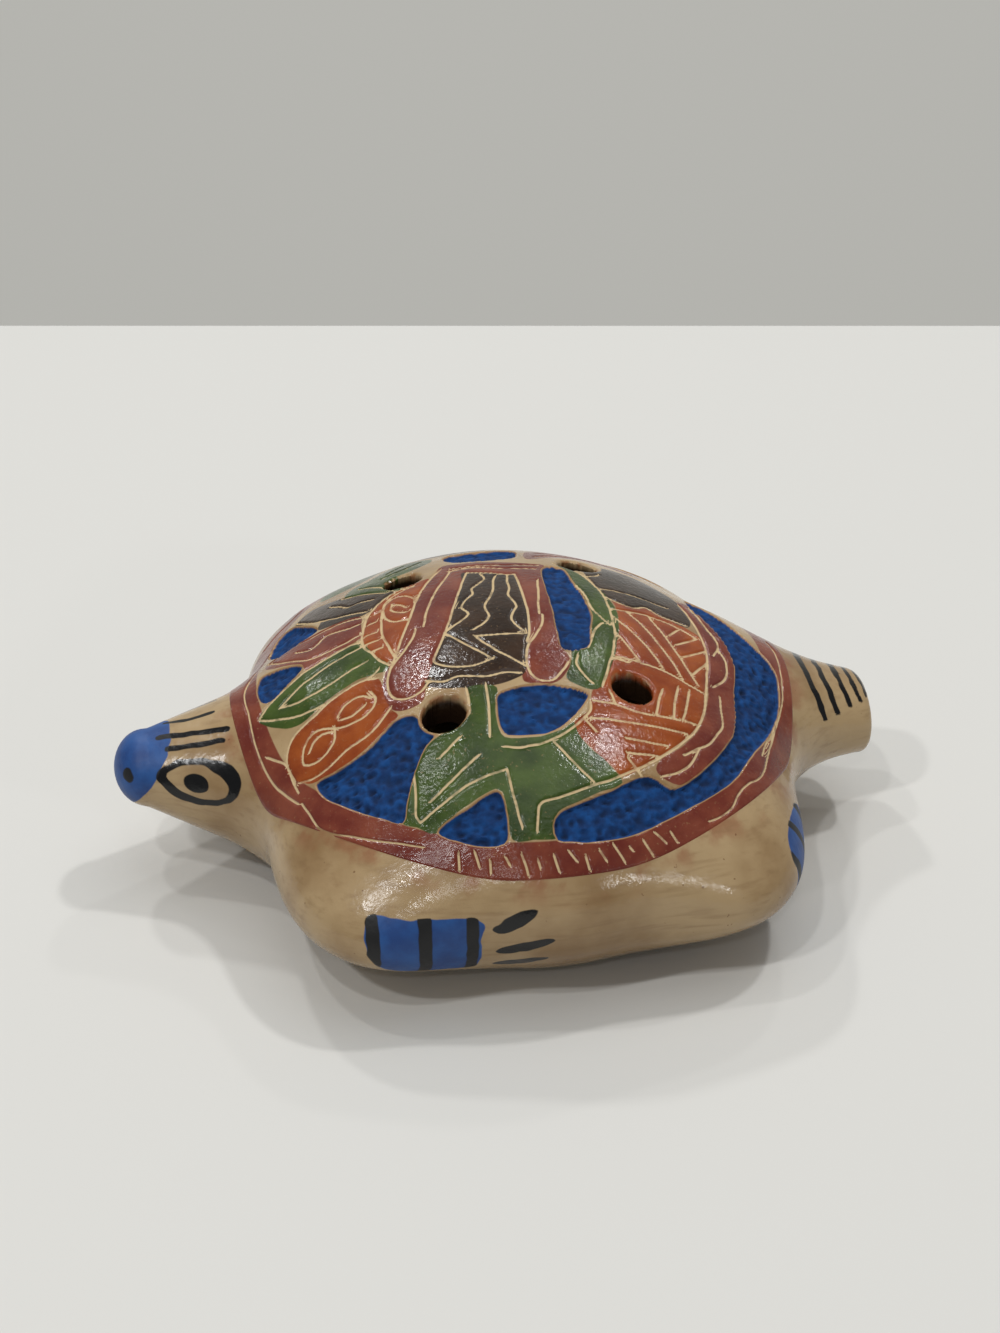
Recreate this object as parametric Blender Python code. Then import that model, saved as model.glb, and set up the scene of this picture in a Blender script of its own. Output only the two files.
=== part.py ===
"""Clay turtle vessel flute, as a potter puts one together.

Two pinched bowls meet rim to rim round a coil of soft clay and make the chamber.
The head, the four legs and the tail are lumps of clay luted to the outside.
The tail is the mouthpiece: a flat windway runs through it to a window in the belly.
Metres, +Z up, +X towards the mouthpiece, resting on the flat belly at z = 0.
"""

import math

import bmesh
import bpy
from mathutils import Matrix, Vector

MM = 0.001

# Chamber, in millimetres. The two bowls share one oval plan.
CENTRE_X = 2.6
HALF_LENGTH = 40.4
HALF_WIDTH = 46.0
JOINT_Z = 15.0
DOME_RISE = 22.5
DOME_FULLNESS = 1.83
BOWL_DEPTH = 22.5
WALL = 4.5
GAP = 0.3
COIL_RADIUS = 1.6

# Finger holes: one pair near the head and one near the tail.
HOLE_DIAMETER = 6.5
HOLE_X = {"head_end": -10.5, "tail_end": 16.3}
HOLE_Y = 18.5
HOLE_Z = 32.0

# Mouthpiece: a flat windway aimed at the edge on the far side of the window.
WINDWAY_WIDTH = 8.0
WINDWAY_HEIGHT = 1.8
WINDWAY_SLOPE = math.radians(17.0)
WINDOW_X = (33.0, 38.0)
WINDOW_WIDTH = 8.0
EXIT_Z = 6.55
RAMP_LENGTH = 11.0
RAMP_ANGLE = math.radians(35.5)

# Limbs: (distance along the axis, half width, half height, height of the middle).
HEAD_STATIONS = (
    (28.0, 13.0, 11.5, 15.0),
    (34.0, 13.5, 11.6, 15.0),
    (38.0, 12.6, 10.9, 15.1),
    (42.0, 10.2, 9.2, 15.5),
    (46.0, 8.3, 7.5, 16.0),
    (50.0, 6.6, 6.0, 16.6),
    (53.0, 5.1, 4.7, 17.0),
    (55.0, 3.2, 2.9, 17.0),
)
HEAD_TIP = (56.0, 17.0)
TAIL_STATIONS = (
    (32.0, 14.5, 11.5, 15.4),
    (38.0, 14.5, 11.3, 15.4),
    (42.0, 13.4, 10.4, 15.4),
    (46.0, 11.0, 8.7, 15.3),
    (50.0, 8.7, 7.3, 14.8),
    (54.0, 7.3, 6.3, 14.0),
    (55.4, 7.0, 6.0, 13.8),
    (56.0, 6.4, 5.4, 13.8),
)
LEG_LENGTH = 20.6
LEG_HALF_WIDTH = 17.0
LEG_HALF_HEIGHT = 11.0
LEG_Z = 13.0
# Root of each leg inside the chamber's wall, and how far it points along X for each unit of Y.
LEG_ROOTS = {"front": (-17.7, 22.2, -0.66), "rear": (22.0, 22.9, 0.66)}

SEGMENTS = 64
LIMB_SEGMENTS = 32

CREAM_CLAY = (0.52, 0.39, 0.24)
RAW_CLAY = (0.60, 0.42, 0.26)
RED_SLIP = (0.16, 0.035, 0.028)


def clear_scene():
    """Remove whatever the scene starts with."""
    for obj in list(bpy.data.objects):
        bpy.data.objects.remove(obj, do_unlink=True)


def clay(name, colour, roughness):
    """Burnished, fired clay in one colour."""
    material = bpy.data.materials.new(name)
    material.use_nodes = True
    shader = material.node_tree.nodes["Principled BSDF"]
    shader.inputs["Base Color"].default_value = (*colour, 1.0)
    shader.inputs["Roughness"].default_value = roughness
    shader.inputs["Metallic"].default_value = 0.0
    return material


def solid(name, bm, material=None):
    """Turn a bmesh built in millimetres into an object in metres."""
    bmesh.ops.recalc_face_normals(bm, faces=bm.faces[:])
    bmesh.ops.scale(bm, vec=(MM, MM, MM), verts=bm.verts[:])
    mesh = bpy.data.meshes.new(name)
    bm.to_mesh(mesh)
    bm.free()
    obj = bpy.data.objects.new(name, mesh)
    bpy.context.scene.collection.objects.link(obj)
    if material is None:
        obj.hide_render = True
        obj.display_type = "WIRE"
    else:
        mesh.materials.append(material)
    return obj


def loft(rings, start=None, end=None):
    """Skin a row of rings. Each end closes on a point if given, or else with a flat face."""
    bm = bmesh.new()
    rows = [[bm.verts.new(point) for point in ring] for ring in rings]
    for row, after in zip(rows, rows[1:]):
        for i in range(len(row)):
            j = (i + 1) % len(row)
            bm.faces.new((row[i], row[j], after[j], after[i]))
    for row, point in ((rows[0], start), (rows[-1], end)):
        if point is None:
            bm.faces.new(row)
            continue
        pole = bm.verts.new(point)
        for i in range(len(row)):
            bm.faces.new((row[i], row[(i + 1) % len(row)], pole))
    return bm


def oval(half_x, half_y, z):
    """One level ring of the chamber's plan."""
    turns = [2.0 * math.pi * i / SEGMENTS for i in range(SEGMENTS)]
    return [Vector((CENTRE_X + half_x * math.cos(t), half_y * math.sin(t), z)) for t in turns]


def dome_rings(inset, lowest, count):
    """Rings of the dome from `lowest` above the joint to just short of the crown."""
    rise = DOME_RISE - inset
    power = 2.0 / DOME_FULLNESS
    first = math.asin((lowest / rise) ** (1.0 / power)) if lowest > 0.0 else 0.0
    rings = []
    for i in range(count):
        angle = first + (math.pi / 2.0 - first) * i / count
        spread = math.cos(angle) ** power
        z = JOINT_Z + rise * math.sin(angle) ** power
        rings.append(oval((HALF_LENGTH - inset) * spread, (HALF_WIDTH - inset) * spread, z))
    return rings


def bowl_rings(inset, highest, floor, count):
    """Rings of the lower bowl from `highest` below the joint down to its floor."""
    depth = BOWL_DEPTH - inset
    first = math.asin(highest / depth)
    last = math.asin((JOINT_Z - floor) / depth)
    rings = []
    for i in range(count):
        angle = first + (last - first) * i / (count - 1)
        spread = math.cos(angle)
        z = JOINT_Z - depth * math.sin(angle)
        rings.append(oval((HALF_LENGTH - inset) * spread, (HALF_WIDTH - inset) * spread, z))
    return rings


def body_block():
    """The whole chamber as one solid, grown by the joint gap: the seat of every limb."""
    rings = bowl_rings(-GAP, 0.0, -1.0, 9)[::-1] + dome_rings(-GAP, 0.0, 12)[1:]
    crown = Vector((CENTRE_X, 0.0, JOINT_Z + DOME_RISE + GAP))
    return solid("cut_body", loft(rings, end=crown))


def smooth_stations(stations, steps):
    """Points between the stations on a smooth curve through all of them."""
    points = [Vector(station) for station in stations]
    out = []
    for i in range(len(points) - 1):
        before = points[max(i - 1, 0)]
        after = points[min(i + 2, len(points) - 1)]
        a, b = points[i], points[i + 1]
        for k in range(steps):
            t = k / steps
            bend_a = (b - before) * 0.5
            bend_b = (after - a) * 0.5
            cube, square = t**3, t**2
            out.append(
                a * (2 * cube - 3 * square + 1)
                + bend_a * (cube - 2 * square + t)
                + b * (3 * square - 2 * cube)
                + bend_b * (cube - square)
            )
    return out + [points[-1]]


def limb_ring(root, heading, station):
    """One upright elliptical section of a limb, square to its heading."""
    along, half_width, half_height, z = station
    side = Vector((-heading.y, heading.x, 0.0))
    middle = Vector((root[0], root[1], z)) + heading * along
    ring = []
    for i in range(LIMB_SEGMENTS):
        turn = 2.0 * math.pi * i / LIMB_SEGMENTS
        offset = side * half_width * math.cos(turn)
        offset += Vector((0.0, 0.0, half_height * math.sin(turn)))
        ring.append(middle + offset)
    return ring


def box(low, high):
    """A plain block between two corners."""
    bm = bmesh.new()
    size = [b - a for a, b in zip(low, high)]
    middle = [(a + b) / 2.0 for a, b in zip(low, high)]
    bmesh.ops.create_cube(bm, size=1.0)
    bmesh.ops.scale(bm, vec=size, verts=bm.verts[:])
    bmesh.ops.translate(bm, vec=middle, verts=bm.verts[:])
    return bm


def cut(obj, cutter):
    """Take the cutter out of the object."""
    modifier = obj.modifiers.new("cut " + cutter.name, "BOOLEAN")
    modifier.operation = "DIFFERENCE"
    modifier.solver = "EXACT"
    modifier.object = cutter


def settle(obj):
    """Keep the cut shape as the object's own mesh, smooth but for its cut edges."""
    graph = bpy.context.evaluated_depsgraph_get()
    mesh = bpy.data.meshes.new_from_object(obj.evaluated_get(graph), depsgraph=graph)
    obj.modifiers.clear()
    obj.data = mesh
    mesh.name = obj.name
    for polygon in mesh.polygons:
        polygon.use_smooth = True
    mesh.set_sharp_from_angle(angle=math.radians(35.0))


def windway_cutter():
    """The flat duct, from beyond the tail's end down to the window."""
    exit_x = WINDOW_X[1] - 2.0
    half_width = WINDWAY_WIDTH / 2.0
    half_height = WINDWAY_HEIGHT / 2.0
    bm = box((0.0, -half_width, -half_height), (26.0, half_width, half_height))
    bmesh.ops.rotate(bm, matrix=Matrix.Rotation(-WINDWAY_SLOPE, 3, "Y"), verts=bm.verts[:])
    start_z = EXIT_Z - 2.0 * math.tan(WINDWAY_SLOPE)
    bmesh.ops.translate(bm, vec=(exit_x, 0.0, start_z), verts=bm.verts[:])
    return solid("cut_windway", bm)


def window_cutter():
    """The window in the belly, open to the chamber above and the air below."""
    half = WINDOW_WIDTH / 2.0
    return solid("cut_window", box((WINDOW_X[0], -half, -2.0), (WINDOW_X[1], half, 13.0)))


def ramp_cutter():
    """The slope pared away outside the window, which leaves the sounding edge."""
    half = WINDOW_WIDTH / 2.0 + 0.5
    edge_x = WINDOW_X[0] + 1.0
    edge_z = 5.2 + math.tan(RAMP_ANGLE)
    drop = RAMP_LENGTH * math.tan(RAMP_ANGLE)
    outline = ((edge_x, edge_z), (edge_x, edge_z - drop), (edge_x - RAMP_LENGTH, edge_z - drop))
    rings = [[Vector((x, y, z)) for x, z in outline] for y in (-half, half)]
    return solid("cut_ramp", loft(rings))


def finger_hole_cutter(name, x, y):
    """A round punch pushed straight down where the finger lies."""
    bm = bmesh.new()
    radius = HOLE_DIAMETER / 2.0
    bmesh.ops.create_cone(bm, cap_ends=True, segments=24, radius1=radius, radius2=radius, depth=16.0)
    bmesh.ops.translate(bm, vec=(x, y, HOLE_Z), verts=bm.verts[:])
    return solid(name, bm)


def upper_shell(material):
    """The carapace: the upper bowl, turned over, with the four finger holes."""
    outer = dome_rings(0.0, GAP / 2.0, 12)
    inner = dome_rings(WALL, GAP / 2.0, 9)
    top = Vector((CENTRE_X, 0.0, JOINT_Z + DOME_RISE))
    under = Vector((CENTRE_X, 0.0, JOINT_Z + DOME_RISE - WALL))
    shell = solid("upper_shell", loft(outer[::-1] + inner, start=top, end=under), material)
    for end, x in HOLE_X.items():
        for side, y in (("left", -HOLE_Y), ("right", HOLE_Y)):
            cut(shell, finger_hole_cutter(f"cut_hole_{end}_{side}", x, y))
    return shell


def lower_shell(material, cutters):
    """The lower bowl: flat belly, window, sounding edge and the foot of the windway."""
    outer = bowl_rings(0.0, GAP / 2.0, 0.0, 8)
    inner = bowl_rings(WALL, GAP / 2.0, WALL, 8)
    shell = solid("lower_shell", loft(outer[::-1] + inner), material)
    for cutter in cutters:
        cut(shell, cutter)
    return shell


def seam_coil(material):
    """A thin roll of soft clay pressed round the inside of the joint."""
    half_x = HALF_LENGTH - WALL - GAP - COIL_RADIUS
    half_y = HALF_WIDTH - WALL - GAP - COIL_RADIUS
    bm = bmesh.new()
    rows = []
    for i in range(SEGMENTS):
        turn = 2.0 * math.pi * i / SEGMENTS
        out = Vector((math.cos(turn) / half_x, math.sin(turn) / half_y, 0.0)).normalized()
        middle = Vector((CENTRE_X + half_x * math.cos(turn), half_y * math.sin(turn), JOINT_Z))
        row = []
        for k in range(8):
            roll = 2.0 * math.pi * k / 8
            lift = Vector((0.0, 0.0, COIL_RADIUS * math.sin(roll)))
            row.append(bm.verts.new(middle + out * COIL_RADIUS * math.cos(roll) + lift))
        rows.append(row)
    for i, row in enumerate(rows):
        after = rows[(i + 1) % len(rows)]
        for k in range(8):
            j = (k + 1) % 8
            bm.faces.new((row[k], row[j], after[j], after[k]))
    return solid("seam_coil", bm, material)


def head(material, seat):
    """A cone of clay with a wide neck and a rounded snout."""
    heading = Vector((-1.0, 0.0, 0.0))
    rings = [limb_ring((0.0, 0.0), heading, s) for s in smooth_stations(HEAD_STATIONS, 2)]
    tip = Vector((-HEAD_TIP[0], 0.0, HEAD_TIP[1]))
    lump = solid("head", loft(rings, end=tip), material)
    cut(lump, seat)
    return lump


def tail_mouthpiece(material, seat, windway):
    """The tail, pared flat at its end, with the windway through it."""
    heading = Vector((1.0, 0.0, 0.0))
    rings = [limb_ring((0.0, 0.0), heading, s) for s in smooth_stations(TAIL_STATIONS, 2)]
    lump = solid("tail_mouthpiece", loft(rings), material)
    cut(lump, seat)
    cut(lump, windway)
    return lump


def leg(name, end, side, material, seat):
    """A stub of clay, half an egg, pointing out and away from the middle."""
    root_x, root_y, lean = LEG_ROOTS[end]
    heading = Vector((lean, side, 0.0)).normalized()
    stations = []
    for i in range(9):
        angle = math.pi / 2.0 * i / 9
        shrink = math.cos(angle)
        along = LEG_LENGTH * math.sin(angle)
        stations.append((along, LEG_HALF_WIDTH * shrink, LEG_HALF_HEIGHT * shrink, LEG_Z))
    root = (root_x, side * root_y)
    rings = [limb_ring(root, heading, station) for station in stations]
    tip = Vector((*root, LEG_Z)) + heading * LEG_LENGTH
    lump = solid(name, loft(rings, end=tip), material)
    cut(lump, seat)
    return lump


def main():
    clear_scene()
    seat = body_block()
    windway = windway_cutter()
    pieces = [
        upper_shell(clay("upper_shell", RED_SLIP, 0.35)),
        lower_shell(clay("lower_shell", CREAM_CLAY, 0.4), (window_cutter(), ramp_cutter(), windway)),
        seam_coil(clay("seam_coil", RAW_CLAY, 0.8)),
        head(clay("head", CREAM_CLAY, 0.4), seat),
        tail_mouthpiece(clay("tail_mouthpiece", CREAM_CLAY, 0.4), seat, windway),
    ]
    for end in LEG_ROOTS:
        for side_name, side in (("left", -1.0), ("right", 1.0)):
            name = f"leg_{end}_{side_name}"
            pieces.append(leg(name, end, side, clay(name, CREAM_CLAY, 0.4), seat))
    for piece in pieces:
        settle(piece)
        print(piece.name, len(piece.data.polygons), "faces")


main()
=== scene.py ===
import math

import bmesh
import bpy
import numpy as np
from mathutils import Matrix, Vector


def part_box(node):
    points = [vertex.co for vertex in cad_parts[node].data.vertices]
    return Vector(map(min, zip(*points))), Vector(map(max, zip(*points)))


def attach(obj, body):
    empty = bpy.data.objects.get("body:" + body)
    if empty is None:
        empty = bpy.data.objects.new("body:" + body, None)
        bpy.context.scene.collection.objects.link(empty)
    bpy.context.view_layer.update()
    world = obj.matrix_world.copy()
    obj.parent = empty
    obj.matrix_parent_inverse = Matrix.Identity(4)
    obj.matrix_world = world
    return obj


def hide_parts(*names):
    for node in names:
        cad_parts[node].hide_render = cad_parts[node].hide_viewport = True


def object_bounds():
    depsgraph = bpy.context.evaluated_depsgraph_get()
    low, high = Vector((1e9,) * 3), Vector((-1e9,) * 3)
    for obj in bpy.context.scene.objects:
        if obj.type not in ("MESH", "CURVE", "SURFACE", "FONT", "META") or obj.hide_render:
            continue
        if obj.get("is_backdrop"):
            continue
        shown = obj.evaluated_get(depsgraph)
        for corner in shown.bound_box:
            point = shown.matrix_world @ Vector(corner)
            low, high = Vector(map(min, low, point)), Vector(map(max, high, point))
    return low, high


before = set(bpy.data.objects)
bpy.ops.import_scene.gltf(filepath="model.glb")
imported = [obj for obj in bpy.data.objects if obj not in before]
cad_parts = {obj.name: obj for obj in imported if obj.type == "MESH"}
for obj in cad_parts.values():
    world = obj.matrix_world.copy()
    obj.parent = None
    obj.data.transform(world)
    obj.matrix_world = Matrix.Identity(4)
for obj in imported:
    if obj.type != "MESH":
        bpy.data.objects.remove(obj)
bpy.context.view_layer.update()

# %% [markdown]
# # A painted clay turtle flute
# The real flute is pinched from clay, put together while leather-hard, brushed with coloured slips,
# scratched through to the pale clay, carved back where the blue goes, rubbed to a shine with a stone
# and fired. This lesson follows the same order: the clay form first, then the pieces, then the drawing
# on the carapace, then the finishes. Lengths are millimetres until a mesh is made.

# %% Sizes taken from the shared frame
MM = 0.001


def box_mm(node):
    low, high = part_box(node)
    return np.array(low) / MM, np.array(high) / MM


shell_low, shell_high = box_mm("upper_shell")
coil_low, coil_high = box_mm("seam_coil")
MIDDLE_X = (shell_low[0] + shell_high[0]) / 2
HALF_LENGTH = (shell_high[0] - shell_low[0]) / 2
HALF_WIDTH = shell_high[1]
JOINT_Z = (coil_low[2] + coil_high[2]) / 2
RISE = shell_high[2] - JOINT_Z
WALL = 4.5
FULLNESS = 1.83  # 2 is an ellipsoid, lower is leaner at the shoulder
NOSE_X = box_mm("head")[0][0]
TAIL_X = box_mm("tail_mouthpiece")[1][0] + 0.8
print(f"chamber {2 * HALF_LENGTH:.1f} x {2 * HALF_WIDTH:.1f} mm, crown at {JOINT_Z + RISE:.1f}")

# %% [markdown]
# ## The clay form
# The joints of a burnished clay figure can't be seen: wet clay is smeared over each one and rubbed
# smooth. So the outside is written as one formula, a distance to the skin, in which each lump melts
# into the next. It could be sculpted by hand, but a formula keeps every limb smooth and both sides alike.

# %% The skin as a distance formula


def melt(a, b, reach):
    """The nearer of two distances, with the corner between them filled like smeared clay."""
    h = np.clip(0.5 + 0.5 * (b - a) / reach, 0, 1)
    return b * (1 - h) + a * h - reach * h * (1 - h)


def egg(p, centre, radii):
    """Distance to an ellipsoid."""
    q = (p - centre) / radii
    k0 = np.linalg.norm(q, axis=-1)
    k1 = np.linalg.norm(q / radii, axis=-1) + 1e-9
    return k0 * (k0 - 1) / k1


def cone(p, start, end, r_start, r_end, widen, heighten):
    """A round-ended cone with an oval section."""
    start, end = np.array(start), np.array(end)
    axis = end - start
    t = np.clip((p - start) @ axis / (axis @ axis), 0, 1)
    q = (p - start - t[..., None] * axis) * (1, 1 / widen, 1 / heighten)
    return np.linalg.norm(q, axis=-1) - (r_start + (r_end - r_start) * t)


def chamber(p):
    """The hollow body: a dome, a little leaner than an egg, on top of a round bowl."""
    q = (p - (MIDDLE_X, 0, JOINT_Z)) / (HALF_LENGTH, HALF_WIDTH, RISE)
    flat = np.hypot(q[..., 0], q[..., 1])
    up = np.abs(q[..., 2])
    g = (flat**FULLNESS + up**FULLNESS) ** (1 / FULLNESS)
    slope = np.linalg.norm(q / (HALF_LENGTH, HALF_WIDTH, RISE), axis=-1)
    dome = (g - 1) / (slope / np.maximum(np.hypot(flat, up), 1e-9) + 1e-9)
    bowl = egg(p, (MIDDLE_X, 0, JOINT_Z), (HALF_LENGTH, HALF_WIDTH, RISE))
    return np.where(p[..., 2] > JOINT_Z, dome, bowl)


LEG_EGG = (12.0, 15.4, 7.15)
LEG_LIFT = 12.44
FAR_LEG_IN = (-1.8, 2.6, 0)  # the turtle's right front leg is a little shorter and further back


def skin(p):
    """Distance to the outside of the flute: negative in the clay."""
    mirrored = p * (1, 0, 1) + np.abs(p) * (0, 1, 0)
    d = chamber(p)
    front = mirrored + FAR_LEG_IN * (p[..., 1:2] > 0)
    d = melt(d, egg(front, (-21.6, 28.05, LEG_LIFT), LEG_EGG), 10.5)
    d = melt(d, egg(mirrored, (25.8, 28.65, LEG_LIFT), LEG_EGG), 10.5)
    d = melt(d, cone(p, (-29.7, 0, 14.5), (NOSE_X + 4.8, 0, 17.0), 12.2, 4.6, 1.31, 1.18), 5.5)
    d = melt(d, cone(p, (34.6, 0, 16.8), (TAIL_X - 1.2, 0, 14.3), 11.5, 6.8, 1.06, 0.89), 10.8)
    d = -melt(-d, TAIL_X - p[..., 0], 1.6)
    return -melt(-d, p[..., 2], 0.9)


def skin_normal(p, step=0.03):
    """The way out of the clay, square to the skin."""
    out = np.stack([skin(p + a) - skin(p - a) for a in np.eye(3) * step], -1)
    return out / np.linalg.norm(out, axis=-1, keepdims=True)


def drop_on_skin(x, y):
    """Height of the upper skin over a place in the plan."""
    z = np.full(np.shape(x), 45.0)
    for _ in range(45):  # each step goes most of the way down to the skin
        z = z - skin(np.stack([x, y, z], -1)) * 0.85
    return z


CORE = np.array((MIDDLE_X, 0, 14.0))


def cast(turn, lift, steps):
    """Points of the skin seen from the core, turn round the upright and lift above the level."""
    way = np.stack([np.cos(turn) * np.cos(lift), np.sin(turn) * np.cos(lift), np.sin(lift)], -1)
    r = np.full(np.shape(turn), 64.0)
    for _ in range(steps):
        r = r - skin(CORE + way * r[..., None]) * 0.9
    return CORE + way * r[..., None]


# %% Noise that gives the same clay every time


def noise(p, size, seed=0.0):
    """Smooth random values from 0 to 1, size millimetres from bump to bump."""
    q = p / size + seed
    cell = np.floor(q)
    f = q - cell
    f = f * f * (3 - 2 * f)
    total = 0
    for corner in range(8):
        o = np.array([corner & 1, corner >> 1 & 1, corner >> 2 & 1])
        h = np.sin((cell + o) @ np.array([127.1, 311.7, 74.7])) * 43758.5453
        total = total + (h - np.floor(h)) * np.prod(np.where(o, f, 1 - f), -1)
    return total


def smooth_step(x, low, high):
    """0 below low, 1 above high, and an easy curve between."""
    t = np.clip((x - low) / (high - low), 0, 1)
    return t * t * (3 - 2 * t)


# %% [markdown]
# ## The drawing on the carapace
# The potter scratches the figures freehand, fills them with slip and carves the ground between them
# away. Each figure is a closed curve through a few points of the plan, head to tail along x, and each
# scratch is an open one. The figures are kept by pigment.

# %% Outlines of the coloured figures
RING_OUTER = (41.37, 43.75)
RING_INNER = (37.55, 40.55)
RING_OVERLAP = 0.5  # the red slip runs in under the edge of the blue

BLUE = [
    [(-28.6, -20.5), (-26.2, -20.7), (-23.4, -20.6), (-21, -20), (-18.8, -18.7), (-17, -17.5),
     (-14.6, -17.8), (-13.8, -19.2), (-12.9, -21.2), (-12.2, -22.4), (-13.6, -23.4), (-15, -25.4),
     (-16.4, -28), (-17.5, -30.6), (-18.4, -32.7), (-20.6, -31.3), (-23.6, -28.7), (-26.2, -25.8),
     (-27.9, -23.3)],
    [(-14.2, -35.6), (-12.4, -34.6), (-10, -34), (-7.6, -33.2), (-5.6, -32.9), (-5, -34.2), (-5, -36.8),
     (-5.3, -38.8), (-6.6, -39.2), (-9.4, -38.5), (-12, -37.2)],
    [(-2.9, -18.3), (-1, -17.6), (1.5, -17.3), (4.5, -17.6), (7.2, -18.3), (9.7, -19.4), (8.9, -21),
     (7.2, -23), (5.2, -24.7), (3, -25.8), (0.5, -26), (-2, -25.6), (-3.2, -24.8), (-3.6, -22.5),
     (-3.3, -20)],
    [(10.4, 15.6), (11.4, 16.7), (12.8, 16.4), (13.6, 15), (13.8, 10), (14.2, 4), (14.1, -1.5), (13.2, -5),
     (12.3, -8.8), (11, -10.2), (9.4, -10.7), (8, -10.3), (7.9, -7.5), (8.5, -1), (8.9, 5), (9.4, 11),
     (9.9, 14)],
    [(1.1, -40), (0.9, -38.3), (2, -37), (5, -36), (9, -34.8), (12, -33.4), (14.6, -32.3), (16.4, -32.5),
     (18, -33.5), (19.6, -33), (22.4, -31), (25.3, -28.2), (28, -25), (30.2, -21.7), (31.6, -17.6),
     (32.6, -13), (33.9, -8.5), (34, -4.5), (33.3, 0), (32.2, 4.6), (31.6, 9.5), (32.4, 14), (34.4, 11),
     (36.2, 4.3), (38.6, -0.6), (40.5, -4), (41, -7), (40, -11.6), (38.2, -15.6), (35.6, -19.6),
     (32.6, -23.8), (29, -29), (25.6, -32.3), (21, -35.3), (16, -37.9), (11, -39.8), (6, -40.5),
     (3, -40.3)],
    [(-33.4, 5.1), (-31.6, 4.8), (-29.2, 3.5), (-27.9, 2.1), (-28, 0.8), (-30.4, -1.2), (-33, -2.9),
     (-34.2, -2.2), (-34.5, 0), (-34.2, 2.6)],
    [(-29.1, 21.4), (-27, 21.6), (-25.8, 18.6), (-24.6, 15.4), (-24.2, 12.6), (-26, 11.6), (-28.4, 10.6),
     (-30.2, 9.9), (-31.2, 11.4), (-31.5, 14), (-31, 17.4)],
    [(-3.2, 24.5), (-2.6, 27.6), (-0.5, 29), (6.8, 29), (8.4, 27.6), (8, 24), (6.6, 21.4), (2.6, 20.8),
     (-1.6, 21.8)],
    [(11, 33), (16, 30.4), (22, 28), (27, 24), (30, 21), (31, 23), (28.6, 27.6), (24, 32.4), (17.6, 36.4),
     (12, 37)],
]
BROWN = [
    [(-1.5, 15.6), (4.6, 12.6), (5.4, 12.4), (5.3, 7), (5, 1), (4.4, -4), (3.5, -8.4), (2.6, -11), (2, -14),
     (1.2, -15.4), (-1.5, -16.4), (-4.6, -16.4), (-7.8, -15.6), (-10.4, -14.6), (-12.2, -13.2),
     (-11.3, -11.6), (-10.2, -8.6), (-8.6, -5.2), (-7.4, -2.4), (-5.6, 2.4), (-3.8, 8), (-2.6, 12)],
    [(-26.6, 21.6), (-25.2, 18.4), (-23.4, 15.6), (-24.2, 12.6), (-22, 11.5), (-19.6, 10.9), (-17.6, 9.8),
     (-16.2, 10.8), (-14.4, 12.8), (-12.4, 14.6), (-14, 16.6), (-16.4, 19.2), (-18.6, 21.2), (-21, 23),
     (-24, 24.4)],
    [(17.2, 9.6), (17.8, 5.4), (19.4, 4), (21.4, 3), (23.6, 4), (25.6, 2), (28.8, -0.4), (30, 3), (29.8, 9),
     (28.6, 14), (25.6, 18), (21, 20), (19.6, 17), (16.6, 15.6)],
    [(-9, 36), (-7, 32), (-2, 30.6), (3, 30.8), (8, 33), (9, 37.4), (3, 39.4), (-4, 39)],
]
RED = [
    [(-4.2, 20.6), (-5.6, 18.2), (-8, 13.6), (-10, 8.8), (-12, 3.6), (-14, -1.6), (-15.6, -5), (-17, -8),
     (-17.8, -11), (-17.7, -14), (-16.6, -16), (-14.6, -16.6), (-12.8, -15.8), (-12, -13.4), (-10.6, -10),
     (-8.4, -5), (-5.4, 2.4), (-2.6, 11.4), (-1.4, 15.6), (-2.4, 17.6)],
    [(5.2, 13), (9.9, 15.6), (9.6, 12), (9, 6), (8.5, 0), (7.9, -6), (7.9, -10), (8.5, -12.6), (7.8, -14.8),
     (6.6, -16.6), (5, -17.5), (3, -17.2), (1.2, -16.6), (1.6, -13), (2.8, -9.4), (4, -5.4), (5, 1),
     (5.3, 7)],
    [(-4.2, 20.8), (-0.5, 20.4), (4, 19.2), (8, 18), (10.8, 17.2), (10, 14.6), (8, 13.6), (5.2, 12.4),
     (1.6, 14), (-1.5, 15.6), (-3, 17)],
    [(-32, 9.6), (-30, 10.4), (-27, 11.2), (-23.6, 11.6), (-20.6, 11.2), (-18, 9.8), (-18.4, 6.6),
     (-18.9, 3.4), (-20.2, 2.9), (-22, 2.8), (-24.8, 1.8), (-27.4, 0.4), (-27.7, 2.2), (-29, 3.7),
     (-31.2, 5.4), (-32.6, 7.4)],
    [(16.6, -31.6), (19.4, -32.9), (22.4, -31), (25.4, -28.2), (28, -25), (30.2, -21.7), (31.6, -17.6),
     (32.6, -13), (33.9, -8.5), (34.1, -4.5), (33.4, 0), (32.2, 4.6), (31.4, 9.6), (29.4, 9), (30, 4),
     (30.4, -2), (30, -7), (28.8, -12.4), (27.2, -18), (24.8, -23), (21.4, -26.8), (17.6, -29.6)],
    [(9, 21), (13, 22.6), (18, 24), (22, 22), (27, 20), (25, 24), (20, 28), (14, 30), (10, 27)],
]
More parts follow.
